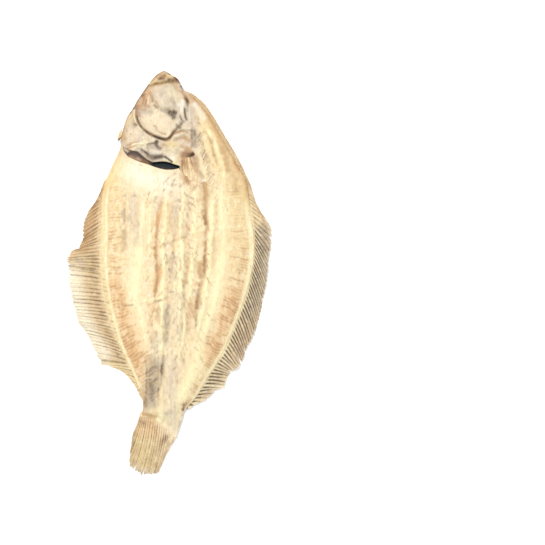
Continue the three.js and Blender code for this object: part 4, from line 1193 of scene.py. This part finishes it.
# each fin is one web raised into ribs by its rays; guides give a ray's root along the edge
# (y) and its tip (x, y and height), from the tail to the head
dorsalPlan = {
    "name": "dabDorsalFin", "node": "dorsal_fin", "rays": outline["dorsalRays"], "perRay": 8,
    "steps": 22, "seed": 11,
    "bend": 0.02, "rib": 0.3, "raggedness": 0.05, "bury": 1.3, "wave": 0.5,
    "gapAtRoot": 0.36, "gapAtTip": 0.2, "darkAtRoot": 1.1, "darkAtTip": 0.7, "darkReach": 0.55,
    "split": 0.1,
    "gapFrom": 0.09, "gapRamp": 0.06, "gapWander": 0.3, "gapLate": 0.06, "lateFrom": 12, "lateTo": 26,
    "gapTone": "gapDark", "even": 0.6, "sheen": 0.9, "rootPale": 0.9, "ribFrom": 0.03, "fadeFrom": 27,
    "fadeTo": 37,
    "guides": [(-88.5, 12, -90, 2.4), (-86, 17, -86.4, 2.2), (-83.5, 23.5, -84, 2),
               (-81, 27.6, -80.6, 1.8),
               (-78, 30.4, -77.2, 1.6), (-74, 36.6, -75, 1.6), (-70, 38, -71, 1.8), (-65, 39.4, -67, 2),
               (-60, 40.4, -65.2, 2.2), (-54, 43.4, -63.8, 3), (-48, 46.2, -62.6, 3.2),
               (-42, 48.2, -58.4, 3),
               (-36, 49.6, -54.4, 2.6), (-29, 51.5, -49, 2.2), (-23, 54.3, -44, 2), (-17, 57.1, -39, 1.8),
               (-9, 59.1, -31.6, 1.7), (0, 61.2, -22.6, 1.8), (8, 63.1, -14, 2), (16, 64.5, -5.5, 2.2),
               (22, 65.2, 2, 2.4), (28, 65.9, 9, 2.8), (33, 67.4, 16, 3), (38, 68.3, 24, 3),
               (42, 67.2, 31, 2.8), (46, 64.6, 36, 2.6), (50, 60.4, 41.6, 2.6), (56, 57, 48, 2.6),
               (66, 54, 58.6, 2.6), (76, 49.4, 69.4, 2.6), (88, 44, 79.6, 2.6), (99, 37.4, 90.6, 2.8),
               (110, 30.4, 102.6, 3), (118, 24, 112.4, 3.2), (121.8, 16, 119.2, 3.6)],
    "tears": [(13, 0.2), (19, 0.3), (23, 0.2), (49, 0.08), (66, 0.1)],
}
analPlan = {
    "name": "dabAnalFin", "node": "anal_fin", "rays": outline["analRays"], "perRay": 8, "steps": 24,
    "seed": 23,
    "bend": -0.02, "rib": 0.3, "raggedness": 0.06, "bury": 1.3, "wave": 0.6,
    "gapAtRoot": 0.22, "gapAtTip": 0.15, "darkAtRoot": 0.75, "darkAtTip": 0.72, "darkReach": 0.42,
    "split": 0.1,
    "gapFrom": 0.04, "gapRamp": 0.1, "gapWander": 1.1, "gapLate": 0.14, "lateFrom": 12, "lateTo": 26,
    "gapTone": "gap", "even": 0.2, "sheen": 0.3, "rootPale": 0.6, "ribFrom": 0.03, "fadeFrom": 46,
    "fadeTo": 66,
    "guides": [(-84, -19.4, -81.6, 2.4), (-80, -21.6, -77, 2.2), (-76, -24, -72.6, 2),
               (-72, -27.4, -68.4, 1.8),
               (-68, -31.4, -65, 1.6), (-65, -36.4, -62.4, 1.4), (-62.5, -41.5, -60.8, 1.3),
               (-61, -46, -60, 1.3), (-58.5, -48.6, -54, 1.6), (-55, -51, -48.2, 2), (-50, -54, -43, 2.2),
               (-44, -57.4, -37.4, 2.4), (-36, -61.4, -31.4, 2.8), (-28, -63.8, -25, 2.8),
               (-20, -65.6, -18, 2.4),
               (-12, -66.7, -10, 2.1), (-5, -67.5, -3, 2), (-1, -67.9, 2.2, 2), (2.5, -68.2, 5.4, 2.1),
               (7.5, -68.3, 7.8, 2.2), (13, -68.4, 10.4, 2.4), (17, -67.2, 13.2, 2.6),
               (20, -64.4, 15.9, 3),
               (21.5, -60.4, 16.4, 3.2), (26, -59.8, 18.6, 3.4), (32, -57.8, 22.6, 3.4),
               (37, -57.7, 28.4, 3.4),
               (43, -57, 34.4, 3.2), (49, -54.6, 40.6, 3.2), (55, -50.4, 45.8, 3.2), (60, -46.8, 52, 3.4),
               (66, -43, 62, 3.6)],
    "tears": [(9, 0.25), (23, 0.08), (27, 0.12), (36, 0.15)],
}
tailPlan = {
    "name": "dabTailFin", "node": "tail_fin", "rays": 19, "perRay": 14, "steps": 30, "seed": 37,
    "bend": 0.03, "rib": 0.38, "raggedness": 0.04, "wave": 0.3,
    "gapAtRoot": 0.18, "gapAtTip": 0.16, "darkAtRoot": 0, "darkAtTip": 0.85, "darkReach": 0.3,
    "split": 0.5,
    "gapFrom": 0.1, "gapRamp": 0.05, "gapWander": 0.5, "gapLate": 0.4, "lateFrom": -97, "lateTo": -103,
    "gapTone": "gap", "even": 0.35, "sheen": 0.5, "rootPale": 0, "ribFrom": 0.2, "fadeFrom": 90,
    "fadeTo": 99,
    "roots": [(-19.4, -91.8, 2.7), (-15, -91.6, 2.7), (-8, -93, 2.7), (-1, -98, 2.7), (5.2, -104.6, 2.7)],
    "tips": [(-24.6, -106, 2.2), (-26.2, -118, 1.8), (-27.2, -127.6, 1.3), (-24.4, -130.8, 1.2),
             (-21.4, -132, 1.1), (-18.4, -134.3, 1.1), (-15.4, -132.8, 1.2), (-13, -134.2, 1.1),
             (-10.6, -132.8, 1.2), (-8.2, -133, 1.3), (-5.4, -127, 1.4), (-1, -117.6, 1.8),
             (4.2, -108.6, 2.3)],
    "tears": [(5, 0.1), (8, 0.12), (12, 0.1), (15, 0.08)],
}

finTints = {
    "dorsal_fin": [
        ("tan", 0.7, 6.0, [(64, 30), (63, 18), (61, 4), (58, -12), (54, -28), (48, -42), (44, -54)]),
        ("hidePale", 0.9, 6.0, [(66, 22), (65, 8), (62, -6), (58, -20), (53, -36), (48, -50)]),
        ("slate", 0.85, 4.6, [(62, 30), (62, 14), (60, 0), (56.4, -14), (53, -26)]),
        ("grey", 0.5, 3.0, [(64, 10), (61, -8), (57, -24)]),
        ("hidePale", 0.6, 4.5, [(47, -50), (45, -58), (38, -64), (30, -73), (24, -80)]),
        ("pale", 0.95, 0.9, [(68.4, 28), (68.6, 21), (67, 14), (65.8, 8)]),
        ("pale", 0.8, 1.5, [(30, -75), (34, -74.4), (36.6, -75)]),
        ("pale", 0.6, 1.4, [(46.4, -62.4), (42, -63.6), (39.4, -65)]),
        ("rust", 0.7, 4.0, [(15, 119), (24, 112), (34, 98), (43, 82), (52, 66), (57, 50), (61, 38)]),
        ("straw", 0.8, 1.4, [(54, 50), (56.6, 40), (58, 32)]),
        ("rust", 0.8, 1.6, [(14, 120.4), (25, 112), (32, 101), (39, 89.6), (45, 79)]),
        ("umber", 0.8, 0.8, [(38.4, 89), (41.6, 84), (44.6, 79.4)]),
        ("brown", 0.8, 1.3, [(45.6, 78), (51, 67.6), (55.6, 55.4), (59, 46), (64.6, 36)]),
        ("olive", 0.6, 0.9, [(57, 50), (60, 42), (63, 34)]),
    ],
    "anal_fin": [
        ("rust", 0.95, 6.0, [(-45, 56), (-52, 38), (-55, 28), (-57, 19)]),
        ("olive", 0.8, 4.6, [(-51, 42), (-54, 32), (-55, 20)]),
        ("brown", 0.7, 3.0, [(-54, 34), (-56, 26), (-57, 18)]),
        ("straw", 0.8, 0.9, [(-53.4, 42.6), (-55.6, 38), (-57, 34)]),
        ("olive", 0.7, 2.0, [(-50, 42), (-51, 30), (-50, 22)]),
        ("umber", 0.9, 0.9, [(-57.2, 33), (-58.2, 28), (-57.8, 23)]),
        ("umber", 0.7, 0.7, [(-47.6, 48), (-50, 44)]),
        ("umber", 0.5, 0.8, [(-64.6, 15.6), (-60, 16)]),
        
        ("olive", 0.28, 14, [(-58, 14), (-58, -10), (-54, -30), (-44, -50)]),
        ("white", 0.85, 5.0, [(-65, -2), (-63, -14), (-58, -28), (-50, -42), (-43, -52)]),
        ("olive", 0.4, 6.0, [(-54, 34), (-54, 22), (-52, 8)]),
        ("tan", 0.9, 5.0, [(-50, 14), (-51, 4), (-50.6, -8), (-48.6, -20), (-45, -32), (-40, -44),
                           (-34, -54)]),
        ("olive", 0.55, 3.2, [(-46, -22), (-42.6, -34), (-37.4, -46), (-31, -57)]),
        ("olive", 0.6, 3.4, [(-50, 12), (-50.4, 2), (-50, -8)]),
        ("brown", 0.5, 3.0, [(-48, -14), (-46.6, -22), (-43.6, -30)]),
        ("orange", 0.7, 2.8, [(-65, 13.4), (-66, 11)]),
        ("grey", 0.7, 2.4, [(-62, 9), (-58, 7)]),
        ("gap", 0.9, 0.6, [(-68, 6), (-62, 4.8), (-56, 3.2), (-48, 1.8)]),
        ("white", 0.8, 5.5, [(-65, 0), (-62, -16), (-58, -30), (-50, -44), (-44, -54)]),
        ("toffee", 0.9, 5.0, [(-51.6, 41), (-53.4, 29), (-55.4, 18)]),
        ("straw", 0.6, 2.2, [(-38, -60), (-31, -63.4), (-25.6, -69.4), (-21, -77)]),
        ("rust", 0.6, 0.9, [(-31, -65), (-25, -71), (-20.4, -79)]),
        ("soot", 0.9, 0.7, [(-34.1, -53.3), (-34.3, -53.5)]),
    ],
    "tail_fin": [
        ("straw", 0.9, 8.0, [(-20, -110), (-17, -126)]),
        ("olive", 0.5, 1.0, [(-22.6, -106), (-24.4, -116), (-24, -126)]),
        ("olive", 0.3, 9.0, [(-12, -106), (-14, -124)]),
        ("umber", 0.6, 1.3, [(-20.6, -97), (-23.6, -105), (-25.6, -112)]),
        ("rust", 0.5, 3.0, [(-20, -95), (-14, -96), (-9, -97.4)]),
        ("cream", 0.6, 2.2, [(-10, -94), (-4, -97.6)]),
        ("rust", 0.85, 2.8, [(-19.6, -98), (-14, -99), (-8.6, -100.6)]),
        ("brown", 0.6, 1.2, [(-19.6, -97.4), (-15, -97.6), (-10, -98.4)]),
        ("orange", 0.75, 5.5, [(-19, -103), (-12, -104), (-8, -105)]),
        ("rust", 0.5, 1.6, [(-9.6, -102), (-10.6, -109)]),
        ("toffee", 0.9, 3.0, [(-19, -97.4), (-14, -99.4), (-9.4, -102)]),
        ("umber", 0.7, 1.0, [(-20, -96), (-18, -98.4), (-16.4, -99.4)]),
        ("lilac", 0.95, 4.4, [(-3, -98.6), (0, -103), (2, -108)]),
        ("cream", 0.75, 3.6, [(-6, -98), (-1, -102.6), (3, -107)]),
        ("lilac", 0.5, 2.4, [(-2, -112), (-6, -121)]),
        ("brown", 0.9, 2.2, [(-2.6, -108.8), (-4, -111)]),
        ("umber", 0.9, 1.4, [(-1.8, -108), (-4.4, -110.8)]),
        ("brown", 0.5, 2.0, [(-5, -112), (-7, -118)]),
        ("tan", 0.7, 2.4, [(-25.4, -116), (-26, -128)]),
        ("lilac", 0.6, 2.6, [(-25, -127), (-20, -131), (-12, -131)]),
        ("brown", 0.6, 1.6, [(-8.4, -128.6), (-9, -133)]),
        ("slate", 0.5, 1.6, [(-22, -130.6), (-17, -133), (-12, -133.6)]),
        ("umber", 0.6, 0.7, [(-18, -134.4), (-13, -134.2), (-8.2, -133.4), (-5, -126.6)]),
    ],
}


def bendWeb(piece, plan, roots, tips, finish):
    # carries the blank from the roots to the tips, ribs it at each ray and frays its rim
    out, along, top = shares(piece)
    draw = random.Random(plan["seed"])
    rays = plan["rays"]
    out = 1 - out if plan["flip"] else out
    position = along * rays
    ray = np.clip(np.floor(position), 0, rays - 1).astype(int)
    phase = position - ray - 0.5
    lengths = np.array([1 - plan["raggedness"] * draw.random() for _ in range(rays)])
    notch = np.array([plan["raggedness"] * (0.5 + draw.random()) for _ in range(rays + 1)])
    lift = np.array([draw.uniform(-0.25, 0.25) for _ in range(rays)])
    gapStrength = np.array([draw.uniform(plan["even"], 1.15) for _ in range(rays + 1)])
    gapShift = np.array([draw.uniform(-0.12, 0.12) for _ in range(rays + 1)])
    for index, deep in plan["tears"]:
        notch[index] += deep
    reachOfRay = np.interp(position - 0.5, np.arange(rays), lengths)
    edgeIndex = np.clip(np.rint(position), 0, rays).astype(int)
    inGap = np.clip(np.abs(phase) * 2, 0, 1) ** 2.5
    limit = reachOfRay - notch[edgeIndex] * inGap
    reach = out * limit
    bow = plan["bend"] * np.sin(np.pi * reach)
    rx, ry, rz = roots
    tx, ty, tz = tips
    x = mix(rx, tx, reach) - bow * (ty - ry)
    y = mix(ry, ty, reach) + bow * (tx - rx)
    sag = 0.7 * np.sin(np.pi * reach)
    z = mix(rz, tz, reach) - sag
    z += plan["wave"] * reach * np.sin(along * 41) + plan["wave"] * 0.5 * reach * np.sin(along * 97 + 1)
    z += reach * np.interp(position - 0.5, np.arange(rays), lift)
    # how near the place is to the gap between two rays, which wanders a little
    toGap = np.abs(position - edgeIndex - gapShift[edgeIndex] * np.sin(3 * reach + edgeIndex))
    gapWidth = mix(plan["gapAtRoot"], plan["gapAtTip"], reach)
    gap = hump(toGap, gapWidth)
    forked = hump(phase, 0.1) * smoothSteps(reach, 0.35, 0.7)
    rise = smoothSteps(reach, plan["ribFrom"], plan["ribFrom"] + 0.2)
    half = mix(0.34, 0.14, reach) + plan["rib"] * (1 - gap - 0.4 * forked) * mix(1, 0.55, reach) * rise
    z = np.where(top, z + half, z - half)
    z = np.maximum(z, 0.06)
    shape(piece, x, y, z)
    slow, quick, fine = [grain(x, y, *kind) for kind in finGrains]
    tint = np.tile(tones["pale"], (len(x), 1))
    paint(tint, 0.45 + 0.3 * slow, "straw")
    paint(tint, 0.2 + 0.3 * quick, "tan")
    paintStrokes(tint, x, y, finTints[plan["node"]], 0.85 + 0.5 * quick + 0.3 * fine)
    # the web between the rays is darker towards the root: its own darker membrane, with painted shade where
    # it sinks between the raised rays
    dark = plan["darkAtRoot"] * hump(reach, plan["darkReach"]) + plan["darkAtTip"]
    gapStart = plan["gapFrom"] + plan["gapWander"] * np.abs(gapShift[edgeIndex])
    gapStart += plan["gapLate"] * smoothSteps(ry, plan["lateFrom"], plan["lateTo"])
    dark = dark * smoothSteps(reach, gapStart, gapStart + plan["gapRamp"]) * gapStrength[edgeIndex]
    dark = dark * (1 - 0.7 * smoothSteps(ry, plan["fadeFrom"], plan["fadeTo"]))
    paint(tint, gap * np.clip(dark * (0.85 + 0.5 * quick + 0.5 * fine), 0, 0.95), plan["gapTone"])
    # painted highlight along the raised rays, over their own pale colour
    sheen = plan["sheen"] * (1 - gap) ** 1.5 * (1 - forked) * (1 - 0.3 * reach)
    paint(tint, sheen * (0.8 + fine), "pale")
    # painted shade in the sunken split of each forked ray
    paint(tint, plan["split"] * forked * (0.8 + 0.8 * quick), "gap")
    # the rays come out of a pale strip along the body: its own cream, painted brighter as painted light that
    # cancels the body's shade on the fin root
    rootShare = 1 - smoothSteps(reach, plan["gapFrom"], plan["gapFrom"] + 0.06)
    paint(tint, plan["rootPale"] * rootShare, "bright")
    paint(tint, 0.35 * np.where(top, 0, 1), "hidePale")
    storeTint(piece, tint)
    finishPiece(piece, finish, "fin", plan["node"], angle=75)


def makeLongFin(plan, edge, side, finish):
    piece = slab(plan["name"], plan["steps"], plan["rays"] * plan["perRay"])
    along = shares(piece)[1]
    plan["flip"] = side < 0
    guides = np.array(plan["guides"], float)
    steps, arc = edgeArc(edge, guides[0, 0], guides[-1, 0])
    rootY = np.interp(along, arc / arc[-1], steps)
    rootX = edge(rootY) - side * plan["bury"]
    rootZ = finLine(rootY)
    tips = [np.interp(rootY, guides[:, 0], guides[:, i]) for i in (1, 2, 3)]
    bendWeb(piece, plan, (rootX, rootY, rootZ), tips, finish)
    return piece


def makeTailFin(plan, finish):
    piece = slab(plan["name"], plan["steps"], plan["rays"] * plan["perRay"])
    along = shares(piece)[1]
    plan["flip"] = False
    bendWeb(piece, plan, alongCurve(plan["roots"], along), alongCurve(plan["tips"], along), finish)
    return piece


# the four small fins: a short root, a curve of tips, folded into a few rays
smallFins = [
    {"name": "dabPectoralBlind", "node": "blind_pectoral_fin", "rim": "cream", "rays": 6, "lift": 0.12,
     "height": None,
     "roots": [(9.4, 76.2), (12, 76.8), (14.6, 76.6)],
     "tips": [(9.4, 69), (10.6, 65), (12.4, 64), (13.8, 61.4), (15.6, 62), (17, 65.4), (16.6, 69)],
     "colours": ["brown", "brown", "tan", "tan", "cream", "tan", "brown"]},
    {"name": "dabPectoralEyed", "node": "eyed_pectoral_fin", "rim": "hidePale", "rays": 8, "lift": 0,
     "height": 0.55,
     "roots": [(13, 71), (14.8, 71.6), (16.6, 71.4)],
     "tips": [(14.2, 57), (15.6, 50), (17, 46.6), (19.8, 45.8), (22.2, 49.8), (20.6, 60)],
     "colours": ["hide", "hidePale", "hide", "hidePale", "hideDark", "hidePale", "hide"]},
    {"name": "dabPelvicBlind", "node": "blind_pelvic_fin", "rim": "straw", "rays": 4, "lift": 0,
     "height": 5.1,
     "roots": [(-31.3, 96.6), (-31.1, 93.4), (-31.3, 90.8)],
     "tips": [(-33.2, 93), (-34.2, 90), (-34.8, 87.7), (-34, 88.6), (-32.6, 89.8)],
     "colours": ["straw", "cream", "pale", "cream", "rust"]},
    {"name": "dabPelvicEyed", "node": "eyed_pelvic_fin", "rim": "hidePale", "rays": 4, "lift": 0,
     "height": 3.1,
     "roots": [(-32.1, 94.8), (-31.9, 92.6), (-31.9, 90.4)],
     "tips": [(-33, 92), (-33.7, 89.4), (-34, 87.3), (-33.2, 88.4), (-32.4, 89.4)],
     "colours": ["hidePale", "hide", "hidePale", "tan", "hide"]},
]


def makeSmallFin(plan, under, finish):
    piece = slab(plan["name"], 16, plan["rays"] * 8)
    out, along, top = shares(piece)
    rootX, rootY = alongCurve(plan["roots"], along)
    tipX, tipY = alongCurve(plan["tips"], along)
    x = mix(rootX, tipX, out)
    y = mix(rootY, tipY, out)
    rib = np.cos(2 * np.pi * along * plan["rays"])
    middle = np.full_like(x, plan["height"] or 0)
    if plan["height"] is None:
        # it lies on the skin, so it takes its height from there
        for i in range(len(x)):
            hit = under.ray_cast(Vector((x[i] * mm, y[i] * mm, 0.05)), Vector((0, 0, -1)))[0]
            middle[i] = hit.z / mm + plan["lift"] * smoothSteps(out[i], 0, 0.3) if hit else 9
    half = mix(0.26, 0.1, out) * (1 - 0.75 * np.abs(2 * along - 1) ** 6)
    bump = 0.2 * rib * smoothSteps(out, 0, 0.25)
    z = np.where(top, middle + half + bump, middle - half)
    shape(piece, x, y, z)
    bands = np.array([tones[name] for name in plan["colours"]])
    spot = along * (len(bands) - 1) + 0.35 * grain(x, y, 2, 41)
    tint = np.stack([np.interp(spot, np.arange(len(bands)), bands[:, i]) for i in range(3)], axis=1)
    # painted shade in the troughs between the ribs
    paint(tint, 0.22 * smoothSteps(-rib, 0, 0.9), "gap")
    paint(tint, 0.85 * smoothSteps(out, 0.35, 0.95), plan["rim"])
    storeTint(piece, tint)
    finishPiece(piece, finish, "fin", plan["node"], angle=75)


# the eyeballs: half their width, half their height and how high their middle lies
eyePlan = {"half": 4.3, "flat": 2.7, "height": 3.1}


def makeEye(name, centre, node, finish):
    # a dried eyeball that looks down out of the eyed side, its front sunk a little
    clearSelection()
    bpy.ops.mesh.primitive_uv_sphere_add(segments=48, ring_count=32, radius=1, location=(0, 0, 0))
    piece = bpy.context.object
    piece.name = name
    piece.data.name = name
    a, b, c = vertexPlaces(piece)
    away = np.hypot(a, b)
    facing = c < 0
    sunk = 0.5 * hump(away, 0.42) * facing
    wrinkle = 0.1 * grain(a * 4, b * 4, 1.2, 51) * facing
    half = eyePlan["half"]
    z = eyePlan["height"] + eyePlan["flat"] * c + sunk + wrinkle
    shape(piece, centre[0] + half * a, centre[1] + half * b, z)
    tint = np.tile(tones["hidePale"], (len(a), 1))
    paint(tint, 0.7 * smoothSteps(-away, -0.84, -0.66) * facing, "umber")
    paint(tint, 0.5 * hump(away - 0.47, 0.08) * facing, "rust")
    paint(tint, smoothSteps(-away, -0.46, -0.4) * facing, "slitShadeAndPupil")
    paint(tint, 0.35 * smoothSteps(grain(a * 4, b * 4, 1.1, 53), 0, 0.5), "stainAndShade")
    storeTint(piece, tint)
    finishPiece(piece, finish, "eye", node, angle=80)


# the fins' and the eyes' material: the specks' size, shade and strength, and how deep they are
finFinish = {"roughness": 0.5, "gloss": 0.4, "coat": 0, "specks": 800, "shade": (0.6, 0.46, 0.32),
             "strength": 0.5, "depth": 0.0004}
eyeFinish = {"roughness": 0.22, "gloss": 0.6, "coat": 0.4, "specks": 500, "shade": (0.5, 0.45, 0.4),
             "strength": 0.5, "depth": 0.0002}


def speckledMaterial(name, plan):
    # the painted tint, broken up by procedural specks that also roughen the surface
    material, tree, shader, colour, place = tintedShader(name)
    shader.inputs["Specular IOR Level"].default_value = plan["gloss"]
    shader.inputs["Coat Weight"].default_value = plan["coat"]
    specks = addNoise(tree, place, plan["specks"], 7, 0.65)
    colour = darken(tree, colour, specks, plan["shade"], 0.34, 0.6, plan["strength"])
    tree.links.new(colour, shader.inputs["Base Color"])
    uneven = tree.nodes.new("ShaderNodeMapRange")
    uneven.inputs["To Min"].default_value = plan["roughness"] - 0.1
    uneven.inputs["To Max"].default_value = plan["roughness"] + 0.12
    tree.links.new(specks, uneven.inputs["Value"])
    tree.links.new(uneven.outputs["Result"], shader.inputs["Roughness"])
    tree.links.new(addBump(tree, specks, 0.4, plan["depth"]), shader.inputs["Normal"])
    return material


finSkin = speckledMaterial("driedFin", finFinish)
eyeSkin = speckledMaterial("driedEye", eyeFinish)
makeLongFin(dorsalPlan, dorsalEdge, 1, finSkin)
makeLongFin(analPlan, ventralEdge, -1, finSkin)
makeTailFin(tailPlan, finSkin)
print("long fins and tail made")
bodyTree = BVHTree.FromObject(body, bpy.context.evaluated_depsgraph_get())
for smallPlan in smallFins:
    makeSmallFin(smallPlan, bodyTree, finSkin)
makeEye("dabUpperEye", sockets[0], "upper_eye", eyeSkin)
makeEye("dabLowerEye", sockets[1], "lower_eye", eyeSkin)
print("small fins and eyes made")


# pale paper on the ground, one large soft lamp, an even white world and a camera above
studio = {
    "floorSize": 8, "floorTone": (0.93, 0.93, 0.93, 1), "floorRoughness": 0.9, "floorGloss": 0.1,
    "floorGlow": 0.34, "worldStrength": 0.56,
    "lampPlace": (-0.8, 1.3, 3.2), "lampSize": 0.7, "lampPower": 92, "lampColour": (1, 0.99, 0.97),
    "lens": 100, "sensor": 36, "cameraPlace": (0.0683, 0.001, 1.006),
}


def makeStage():
    clearSelection()
    bpy.ops.mesh.primitive_plane_add(size=studio["floorSize"], location=(0, 0, 0))
    floor = bpy.context.object
    floor.name = "paleFloor"
    material = bpy.data.materials.new("palePaper")
    material.use_nodes = True
    shader = material.node_tree.nodes["Principled BSDF"]
    shader.inputs["Base Color"].default_value = studio["floorTone"]
    shader.inputs["Roughness"].default_value = studio["floorRoughness"]
    shader.inputs["Specular IOR Level"].default_value = studio["floorGloss"]
    shader.inputs["Emission Color"].default_value = (1, 1, 1, 1)
    shader.inputs["Emission Strength"].default_value = studio["floorGlow"]
    floor.data.materials.append(material)


def addLamp():
    data = bpy.data.lights.new("keyLamp", "AREA")
    data.shape = "SQUARE"
    data.size = studio["lampSize"]
    data.energy = studio["lampPower"]
    data.color = studio["lampColour"]
    lamp = bpy.data.objects.new("keyLamp", data)
    bpy.context.scene.collection.objects.link(lamp)
    lamp.location = studio["lampPlace"]
    lamp.rotation_euler = (-lamp.location).to_track_quat("-Z", "Y").to_euler()


def makeStudio():
    scene = bpy.context.scene
    scene.view_settings.view_transform = "Standard"
    world = bpy.data.worlds.new("studio")
    world.use_nodes = True
    background = world.node_tree.nodes["Background"]
    background.inputs["Color"].default_value = (1, 1, 1, 1)
    background.inputs["Strength"].default_value = studio["worldStrength"]
    scene.world = world
    addLamp()
    data = bpy.data.cameras.new("topCamera")
    data.lens = studio["lens"]
    data.sensor_width = studio["sensor"]
    camera = bpy.data.objects.new("topCamera", data)
    scene.collection.objects.link(camera)
    camera.location = studio["cameraPlace"]
    camera.rotation_euler = (0, 0, 0)
    scene.camera = camera


makeStage()
makeStudio()
